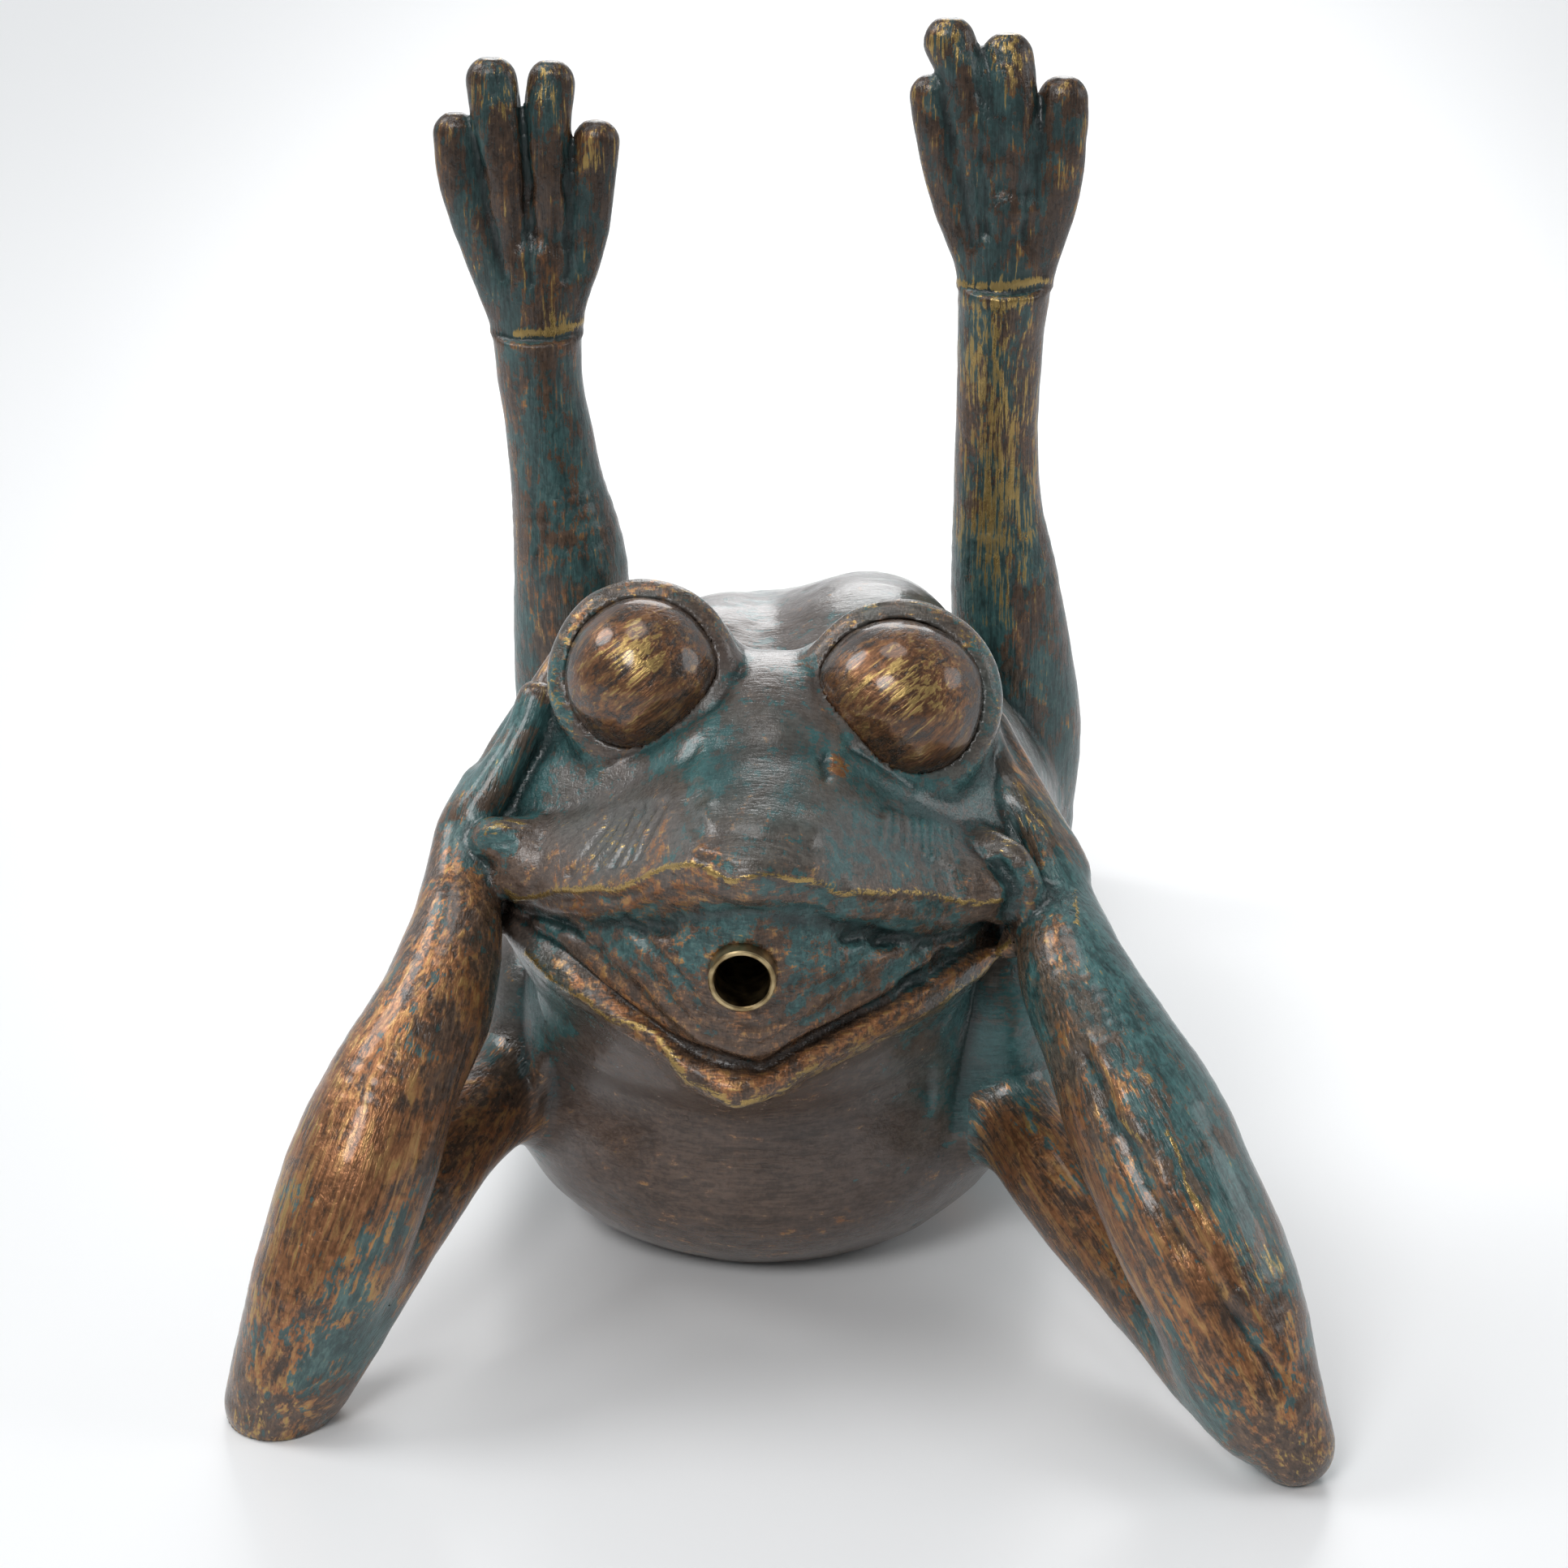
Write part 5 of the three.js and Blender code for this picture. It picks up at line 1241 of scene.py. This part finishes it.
def maths(tree, operation, *values):
    return add_node(tree, "Math", dict(enumerate(values)), operation=operation).outputs[0]


def mix_colours(tree, share, first, second, blend_type="MIX"):
    inputs = {0: share, 6: first, 7: second}
    return add_node(tree, "Mix", inputs, data_type="RGBA", blend_type=blend_type).outputs[2]


def ramp(tree, value, low, high, to_low=0.0, to_high=1.0):
    """A smooth step between two levels."""
    inputs = {"Value": value, "From Min": low, "From Max": high, "To Min": to_low, "To Max": to_high}
    return add_node(tree, "MapRange", inputs, interpolation_type="SMOOTHSTEP").outputs[0]


def new_group(name, inputs, outputs):
    """An empty node group with named sockets, and its two end nodes."""
    group = bpy.data.node_groups.new(name, "ShaderNodeTree")
    for label, kind in inputs:
        group.interface.new_socket(label, in_out="INPUT", socket_type="NodeSocket" + kind)
    for label, kind in outputs:
        group.interface.new_socket(label, in_out="OUTPUT", socket_type="NodeSocket" + kind)
    return group, group.nodes.new("NodeGroupInput").outputs, group.nodes.new("NodeGroupOutput")


def brush_marks_group():
    """Noise drawn out along the brush, with marks of a length and a width in millimetres."""
    name = "Brush marks"
    if name in bpy.data.node_groups:
        return bpy.data.node_groups[name]
    inputs = (("Brush", "Vector"), ("Length", "Float"), ("Width", "Float"), ("Detail", "Float"))
    group, given, result = new_group(name, inputs, (("Marks", "Float"),))
    along = maths(group, "DIVIDE", 1.0, given["Length"])
    across = maths(group, "DIVIDE", 1.0, given["Width"])
    scale = add_node(group, "CombineXYZ", {0: along, 1: across, 2: across}).outputs[0]
    place = add_node(group, "VectorMath", {0: given["Brush"], 1: scale}, operation="MULTIPLY").outputs[0]
    inputs = {
        "Vector": place, "Scale": 1.0, "Detail": given["Detail"], "Roughness": 0.6, "Distortion": 0.5,
    }
    noise = add_node(group, "TexNoise", inputs)
    group.links.new(noise.outputs[0], result.inputs["Marks"])
    return group


def marks(tree, brush, length, width, detail):
    node = tree.nodes.new("ShaderNodeGroup")
    node.node_tree = brush_marks_group()
    tree.links.new(brush, node.inputs["Brush"])
    for label, value in (("Length", length), ("Width", width), ("Detail", detail)):
        node.inputs[label].default_value = value
    return node.outputs["Marks"]


def patina_group():
    """Layers of paint on a casting: brown and grey ground, copper, verdigris and dry-brushed gold."""
    name = "Rubbed patina"
    if name in bpy.data.node_groups:
        return bpy.data.node_groups[name]
    inputs = (
        ("Brush", "Vector"), ("Hollow", "Float"), ("Grey share", "Float"), ("Copper share", "Float"),
        ("Green share", "Float"), ("Gold share", "Float"), ("Wash", "Float"), ("Shade", "Float"),
        ("Brown", "Color"), ("Grey", "Color"), ("Copper", "Color"), ("Verdigris", "Color"),
        ("Gold", "Color"),
    )
    outputs = (("Color", "Color"), ("Roughness", "Float"), ("Metallic", "Float"), ("Height", "Float"))
    group, given, result = new_group(name, inputs, outputs)
    brush = given["Brush"]
    hollow = given["Hollow"]
    patches = marks(group, brush, 30, 16, 6)
    spots = marks(group, brush, 7, 4, 5)
    streaks = marks(group, brush, 11, 1.5, 4)
    hairs = marks(group, brush, 12, 0.5, 3)
    grain = marks(group, brush, 1.4, 1.2, 2)
    relief = maths(group, "MULTIPLY_ADD", hairs, 0.3, maths(group, "MULTIPLY", grain, 0.25))
    relief = maths(group, "MULTIPLY_ADD", streaks, 0.45, relief)

    def layer(shares, share, hollow_share, low, high):
        """A ragged mask from shares of the noises, the painted share and the hollows."""
        total = maths(group, "MULTIPLY_ADD", hollow, hollow_share, given[share])
        for noise, part in shares:
            total = maths(group, "MULTIPLY_ADD", noise, part, total)
        return ramp(group, total, low, high)

    copper = layer(((spots, 0.6), (patches, 0.4), (relief, 0.8)), "Copper share", -0.05, 0.84, 1.0)
    green = layer(((patches, -0.6), (spots, 0.5), (relief, -0.9)), "Green share", 0.1, -0.47, -0.43)
    gold = layer(((hairs, 0.5), (streaks, 0.5), (spots, 0.25)), "Gold share", -0.06, 0.72, 0.78)

    ground = maths(group, "MULTIPLY", given["Grey share"], ramp(group, spots, 0.3, 0.55, 0.75, 1.0))
    colour = mix_colours(group, ground, given["Brown"], given["Grey"])
    # the wash is a teal glaze, and on the right cheek a painted reflection too
    wash = maths(group, "MULTIPLY", given["Wash"], ramp(group, patches, 0.65, 0.35, 0.4, 1.0))
    colour = mix_colours(group, wash, colour, given["Verdigris"])
    golden = ramp(group, streaks, 0.48, 0.7, 0.0, 0.5)
    warm = mix_colours(group, golden, given["Copper"], given["Gold"])
    colour = mix_colours(group, maths(group, "MULTIPLY", copper, 0.9), colour, warm)
    colour = mix_colours(group, maths(group, "MULTIPLY", green, 0.9), colour, given["Verdigris"])
    contrast = maths(group, "MULTIPLY_ADD", given["Grey share"], -0.55, 1.0)
    fine_tone = ramp(group, relief, 0.4, 0.6, -0.5, 0.4)
    spot_tone = ramp(group, spots, 0.3, 0.7, -0.2, 0.18)
    uneven = maths(group, "ADD", fine_tone, spot_tone)
    tone = maths(group, "MULTIPLY", maths(group, "MULTIPLY_ADD", uneven, contrast, 1.0), given["Shade"])
    # painted shade: the paint darkens in the hollows and where shade is painted
    tone = maths(group, "MULTIPLY", tone, ramp(group, hollow, 0.0, 1.0, 1.0, 0.3))
    tone_colour = add_node(group, "CombineColor", {0: tone, 1: tone, 2: tone}).outputs[0]
    shaded = mix_colours(group, 1.0, colour, tone_colour, "MULTIPLY")
    colour = mix_colours(group, maths(group, "MULTIPLY", gold, 0.85), shaded, given["Gold"])
    group.links.new(colour, result.inputs["Color"])

    rough = 0.14
    for share, more in ((green, 0.05), (spots, 0.22), (copper, 0.08), (given["Grey share"], -0.05)):
        rough = maths(group, "MULTIPLY_ADD", share, more, rough)
    group.links.new(rough, result.inputs["Roughness"])
    shine = maths(group, "MULTIPLY", copper, maths(group, "MULTIPLY_ADD", green, -0.7, 0.7))
    shine = maths(group, "MAXIMUM", shine, maths(group, "MULTIPLY", gold, 0.8))
    group.links.new(shine, result.inputs["Metallic"])
    height = maths(group, "MULTIPLY_ADD", spots, 0.35, relief)
    depth = maths(group, "MULTIPLY_ADD", given["Grey share"], -0.5, 1.0)
    group.links.new(maths(group, "MULTIPLY", height, depth), result.inputs["Height"])
    return group


def new_material(name):
    """A material with its bare shader."""
    material = bpy.data.materials.new(name)
    material.use_nodes = True
    tree = material.node_tree
    shader = next(node for node in tree.nodes if node.type == "BSDF_PRINCIPLED")
    return material, tree, shader


def attribute(tree, name, output="Fac"):
    return add_node(tree, "Attribute", attribute_name=name).outputs[output]


BUMP_DEPTH = 0.55 * MM
LACQUER_ROUGHNESS = 0.12


def patina_material(name, green, copper, gold, shade=1.0, lacquer=0.2):
    """The painted finish of a casting, with more or less of each layer, darker or lighter all over."""
    if name in bpy.data.materials:
        return bpy.data.materials[name]
    paint = bpy.context.scene.frog_patina
    material, tree, shader = new_material(name)
    node = tree.nodes.new("ShaderNodeGroup")
    node.node_tree = patina_group()
    tree.links.new(attribute(tree, "brush", "Vector"), node.inputs["Brush"])
    for layer, label in (("hollow", "Hollow"), ("grey", "Grey share"), ("wash", "Wash")):
        tree.links.new(attribute(tree, layer), node.inputs[label])
    for label, more in (("green", green), ("copper", copper), ("gold", gold)):
        share = maths(tree, "ADD", attribute(tree, label), more)
        tree.links.new(share, node.inputs[label.title() + " share"])
    node.inputs["Shade"].default_value = shade
    for label in ("Brown", "Grey", "Copper", "Verdigris", "Gold"):
        node.inputs[label].default_value = (*getattr(paint, label.lower()), 1)
    tree.links.new(node.outputs["Color"], shader.inputs["Base Color"])
    tree.links.new(node.outputs["Roughness"], shader.inputs["Roughness"])
    tree.links.new(node.outputs["Metallic"], shader.inputs["Metallic"])
    inputs = {"Height": node.outputs["Height"], "Strength": 1.0, "Distance": BUMP_DEPTH}
    bump = add_node(tree, "Bump", inputs)
    tree.links.new(bump.outputs[0], shader.inputs["Normal"])
    shader.inputs["Coat Weight"].default_value = lacquer
    shader.inputs["Coat Roughness"].default_value = LACQUER_ROUGHNESS
    return material


def worn_material(name, colour, dark, roughness, metallic, grain):
    """A plain finish with uneven colour and roughness, and a grain of a size in millimetres."""
    if name in bpy.data.materials:
        return bpy.data.materials[name]
    material, tree, shader = new_material(name)
    place = add_node(tree, "TexCoord").outputs["Object"]
    noise = add_node(tree, "TexNoise", {"Vector": place, "Scale": 1 / (grain * MM), "Detail": 5.0})
    worn = ramp(tree, noise.outputs[0], 0.35, 0.68)
    tree.links.new(mix_colours(tree, worn, (*dark, 1), (*colour, 1)), shader.inputs["Base Color"])
    rough = maths(tree, "MULTIPLY_ADD", noise.outputs[0], 0.3, roughness - 0.12)
    tree.links.new(rough, shader.inputs["Roughness"])
    bump = add_node(tree, "Bump", {"Height": noise.outputs[0], "Strength": 0.25, "Distance": 0.1 * MM})
    tree.links.new(bump.outputs[0], shader.inputs["Normal"])
    shader.inputs["Metallic"].default_value = metallic
    return material


def body_bronze():
    return patina_material("painted_body_bronze", -0.03, -0.17, -0.08)


def limb_verdigris():
    return patina_material("painted_limb_verdigris", -0.02, -0.08, -0.045, 1.0, 0.4)


def leg_verdigris():
    return patina_material("painted_leg_verdigris", 0.05, -0.12, -0.05, 0.72)


def foot_verdigris():
    return patina_material("painted_foot_verdigris", 0.07, -0.1, -0.02, 0.47)


def eye_bronze():
    return patina_material("painted_eye_bronze", -0.14, 0.02, 0.0, 0.64, 0.7)


def brass():
    return worn_material("worn_brass", (0.55, 0.43, 0.24), (0.25, 0.18, 0.09), 0.3, 1.0, 3.0)


def steel():
    return worn_material("worn_steel", (0.55, 0.56, 0.57), (0.32, 0.33, 0.34), 0.36, 1.0, 2.0)


def clear_hose():
    return worn_material("worn_clear_hose", (0.62, 0.66, 0.64), (0.5, 0.55, 0.53), 0.38, 0.0, 6.0)


def black_rubber():
    return worn_material("worn_black_rubber", (0.03, 0.03, 0.03), (0.015, 0.015, 0.015), 0.7, 0.0, 1.5)


def raw_resin():
    return worn_material("worn_raw_resin", (0.3, 0.28, 0.26), (0.2, 0.185, 0.17), 0.72, 0.0, 4.0)


# Settings

def number_property(name, description, default, unit="NONE"):
    return bpy.props.FloatProperty(name=name, description=description, default=default, unit=unit)


def colour_property(name, description, default):
    return bpy.props.FloatVectorProperty(
        name=name, description=description, default=default, subtype="COLOR", min=0, max=1
    )


class FROG_PG_sculpt(bpy.types.PropertyGroup):
    """How finely the castings are sculpted."""

    voxel: number_property("Voxel", "Size of the sculpture's voxels", 0.75 * MM, "LENGTH")
    draft_voxel: number_property("Draft voxel", "Size of the voxels in a draft", 1.5 * MM, "LENGTH")


class FROG_PG_patina(bpy.types.PropertyGroup):
    """Colours of the painted finish."""

    brown: colour_property("Brown", "Dark ground of the limbs", (0.105, 0.06, 0.036))
    grey: colour_property("Grey", "Dull ground of the body", (0.1, 0.076, 0.066))
    copper: colour_property("Copper", "Warm paint on the broad forms", (0.31, 0.135, 0.058))
    verdigris: colour_property("Verdigris", "Blue-green wash in the hollows", (0.038, 0.118, 0.12))
    gold: colour_property("Gold", "Dry-brushed paint on the ridges", (0.42, 0.29, 0.1))


class FROG_PG_stage(bpy.types.PropertyGroup):
    """The floor and the lamps."""

    floor: colour_property("Floor", "Colour of the floor", (0.9, 0.91, 0.92))
    back_light: number_property("Back light", "Power of the large lamp behind", 16.0, "POWER")
    top_light: number_property("Top light", "Power of the lamp above", 3.2, "POWER")
    key_light: number_property(
        "Key light", "Power of each lamp in front and at the frog's right side", 6.6, "POWER"
    )
    fill_light: number_property(
        "Fill light", "Power of the lamp at the frog's left side", 2.5, "POWER"
    )
    sky: number_property("Sky", "Strength of the even light in front", 0.24)
    back_sky: number_property("Back sky", "Strength of the even light behind", 0.75)


# Operators

class FROG_OT_torso(bpy.types.Operator):
    """Casts the torso"""

    bl_idname = "frog.torso"
    bl_label = "Torso"

    def execute(self, context):
        casting("torso", body_bronze())
        return {"FINISHED"}


class FROG_OT_head(bpy.types.Operator):
    """Casts the head"""

    bl_idname = "frog.head"
    bl_label = "Head"

    def execute(self, context):
        casting("head", body_bronze())
        return {"FINISHED"}


class FROG_OT_eyes(bpy.types.Operator):
    """Sets the two eyeballs"""

    bl_idname = "frog.eyes"
    bl_label = "Eyes"

    def execute(self, context):
        for node in EYES:
            eyeball(node, eye_bronze())
        return {"FINISHED"}


class FROG_OT_arms(bpy.types.Operator):
    """Casts the upper arms and the forearms with their hands"""

    bl_idname = "frog.arms"
    bl_label = "Arms"

    def execute(self, context):
        for node in ARMS:
            casting(node, limb_verdigris())
        return {"FINISHED"}


class FROG_OT_legs(bpy.types.Operator):
    """Casts the thighs and the shins"""

    bl_idname = "frog.legs"
    bl_label = "Legs"

    def execute(self, context):
        for side in ("right", "left"):
            casting(side + "_thigh", body_bronze())
            casting(side + "_shin", leg_verdigris())
        return {"FINISHED"}


class FROG_OT_feet(bpy.types.Operator):
    """Casts the feet"""

    bl_idname = "frog.feet"
    bl_label = "Feet"

    def execute(self, context):
        for node in FEET:
            casting(node, foot_verdigris())
        return {"FINISHED"}


class FROG_OT_spout(bpy.types.Operator):
    """Turns the brass tube in the mouth"""

    bl_idname = "frog.spout"
    bl_label = "Spout"

    def execute(self, context):
        low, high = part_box("spout_tube")
        tip = (low.y - ORIGIN[1]) / MM
        rear = (high.y - ORIGIN[1]) / MM
        outline = (
            (SPOUT_BORE_RADIUS + SPOUT_EDGE, tip), (SPOUT_RADIUS - SPOUT_EDGE, tip),
            (SPOUT_RADIUS, tip + SPOUT_EDGE), (SPOUT_RADIUS, rear),
            (SPOUT_BORE_RADIUS, rear), (SPOUT_BORE_RADIUS, tip + SPOUT_EDGE),
        )
        tube = turned("spout_brass_tube", outline, SPOUT_HEIGHT)
        dress(tube, "spout_tube", brass())
        return {"FINISHED"}


class FROG_OT_fittings(bpy.types.Operator):
    """Finishes the fittings, dowels and rods that keep their solids"""

    bl_idname = "frog.fittings"
    bl_label = "Fittings"

    def execute(self, context):
        finishes = {
            "brass": brass, "steel": steel, "clear_hose": clear_hose,
            "black_rubber": black_rubber, "raw_resin": raw_resin,
        }
        for part in frame["record"]["subparts"]:
            node = frame["nodes"][part["node"]]
            if node.hide_render or part["material_slot"] not in finishes:
                continue
            node.data.materials.clear()
            node.data.materials.append(finishes[part["material_slot"]]())
        return {"FINISHED"}


# Name, place, target and diameter of each lamp, in metres, and the setting of its power
LAMPS = (
    ("back_lamp", (0.0, 2.2, 1.0), (0, 0, 0.1), 1.4, "back_light"),
    ("top_lamp", (-0.15, -0.05, 1.4), (0, 0, 0.05), 0.6, "top_light"),
    ("front_lamp", (-0.4, -1.0, 1.0), (0, 0, 0.1), 0.5, "key_light"),
    ("left_lamp", (-0.95, 0.05, 1.05), (0, -0.05, 0.1), 0.6, "key_light"),
    ("right_lamp", (1.2, -0.1, 0.6), (0, -0.05, 0.1), 0.6, "fill_light"),
)
FLOOR_REACH = 6.0
FLOOR_ROUGHNESS = 0.3
SKY_COLOUR = (0.96, 0.98, 1, 1)


class FROG_OT_stage(bpy.types.Operator):
    """Sets up the floor, the sky, the lamps and the camera"""

    bl_idname = "frog.stage"
    bl_label = "Stage"

    def execute(self, context):
        settings = context.scene.frog_stage
        self.floor(settings)
        self.sky(context.scene, settings)
        for name, place, target, size, setting in LAMPS:
            self.lamp(name, place, target, size, getattr(settings, setting))
        self.camera(context.scene)
        return {"FINISHED"}

    def floor(self, settings):
        mesh = bpy.data.meshes.new("floor")
        signs = ((-1, -1), (1, -1), (1, 1), (-1, 1))
        corners = [(x * FLOOR_REACH, y * FLOOR_REACH, 0) for x, y in signs]
        mesh.from_pydata(corners, [], [(0, 1, 2, 3)])
        floor = bpy.data.objects.new("floor", mesh)
        bpy.context.scene.collection.objects.link(floor)
        material, _, shader = new_material("pale_floor")
        shader.inputs["Base Color"].default_value = (*settings.floor, 1)
        shader.inputs["Roughness"].default_value = FLOOR_ROUGHNESS
        mesh.materials.append(material)

    def sky(self, scene, settings):
        """An even light that is brighter low down behind the frog."""
        world = bpy.data.worlds.new("studio")
        scene.world = world
        world.use_nodes = True
        tree = world.node_tree
        background = next(node for node in tree.nodes if node.type == "BACKGROUND")
        background.inputs["Color"].default_value = SKY_COLOUR
        direction = add_node(tree, "TexCoord").outputs["Generated"]
        parts = add_node(tree, "SeparateXYZ", {0: direction}).outputs
        backward = ramp(tree, parts["Y"], -0.3, 0.7)
        low = ramp(tree, parts["Z"], 0.75, 0.45)
        behind = maths(tree, "MULTIPLY", backward, low)
        light = maths(tree, "MULTIPLY_ADD", behind, settings.back_sky - settings.sky, settings.sky)
        tree.links.new(light, background.inputs["Strength"])

    def lamp(self, name, place, target, size, power):
        data = bpy.data.lights.new(name, "AREA")
        data.shape = "DISK"
        data.size = size
        data.energy = power
        lamp = bpy.data.objects.new(name, data)
        lamp.location = place
        lamp.rotation_euler = (Vector(target) - Vector(place)).to_track_quat("-Z", "Y").to_euler()
        bpy.context.scene.collection.objects.link(lamp)

    def camera(self, scene):
        data = bpy.data.cameras.new("photo_camera")
        data.sensor_width = SENSOR_MM
        data.lens = FOCAL_PIXELS / PHOTO_PIXELS * SENSOR_MM
        camera = bpy.data.objects.new("photo_camera", data)
        turn = Matrix((CAMERA_RIGHT, CAMERA_UP, CAMERA_BACK)).transposed()
        camera.matrix_world = Matrix.Translation(CAMERA_PLACE * MM + ORIGIN) @ turn.to_4x4()
        scene.collection.objects.link(camera)
        scene.camera = camera
        scene.view_settings.view_transform = "Standard"


class FROG_PT_panel(bpy.types.Panel):
    """Lists the steps and their settings"""

    bl_idname = "FROG_PT_panel"
    bl_label = "Frog water spitter"
    bl_space_type = "VIEW_3D"
    bl_region_type = "UI"
    bl_category = "Frog"

    def draw(self, context):
        scene = context.scene
        for settings in (scene.frog_sculpt, scene.frog_patina, scene.frog_stage):
            for name in settings.__annotations__:
                self.layout.prop(settings, name)
        for step in STEPS:
            self.layout.operator(step.bl_idname)


STEPS = (
    FROG_OT_stage, FROG_OT_torso, FROG_OT_head, FROG_OT_eyes, FROG_OT_arms, FROG_OT_legs, FROG_OT_feet,
    FROG_OT_spout, FROG_OT_fittings,
)
GROUPS = {"frog_sculpt": FROG_PG_sculpt, "frog_patina": FROG_PG_patina, "frog_stage": FROG_PG_stage}


def register():
    for cls in (*GROUPS.values(), *STEPS, FROG_PT_panel):
        bpy.utils.register_class(cls)
    for name, cls in GROUPS.items():
        setattr(bpy.types.Scene, name, bpy.props.PointerProperty(type=cls))


def unregister():
    for name in GROUPS:
        delattr(bpy.types.Scene, name)
    for cls in reversed((*GROUPS.values(), *STEPS, FROG_PT_panel)):
        bpy.utils.unregister_class(cls)


def main():
    register()
    for step in STEPS:
        family, name = step.bl_idname.split(".")
        getattr(getattr(bpy.ops, family), name)()


if __name__ == "__main__":
    main()
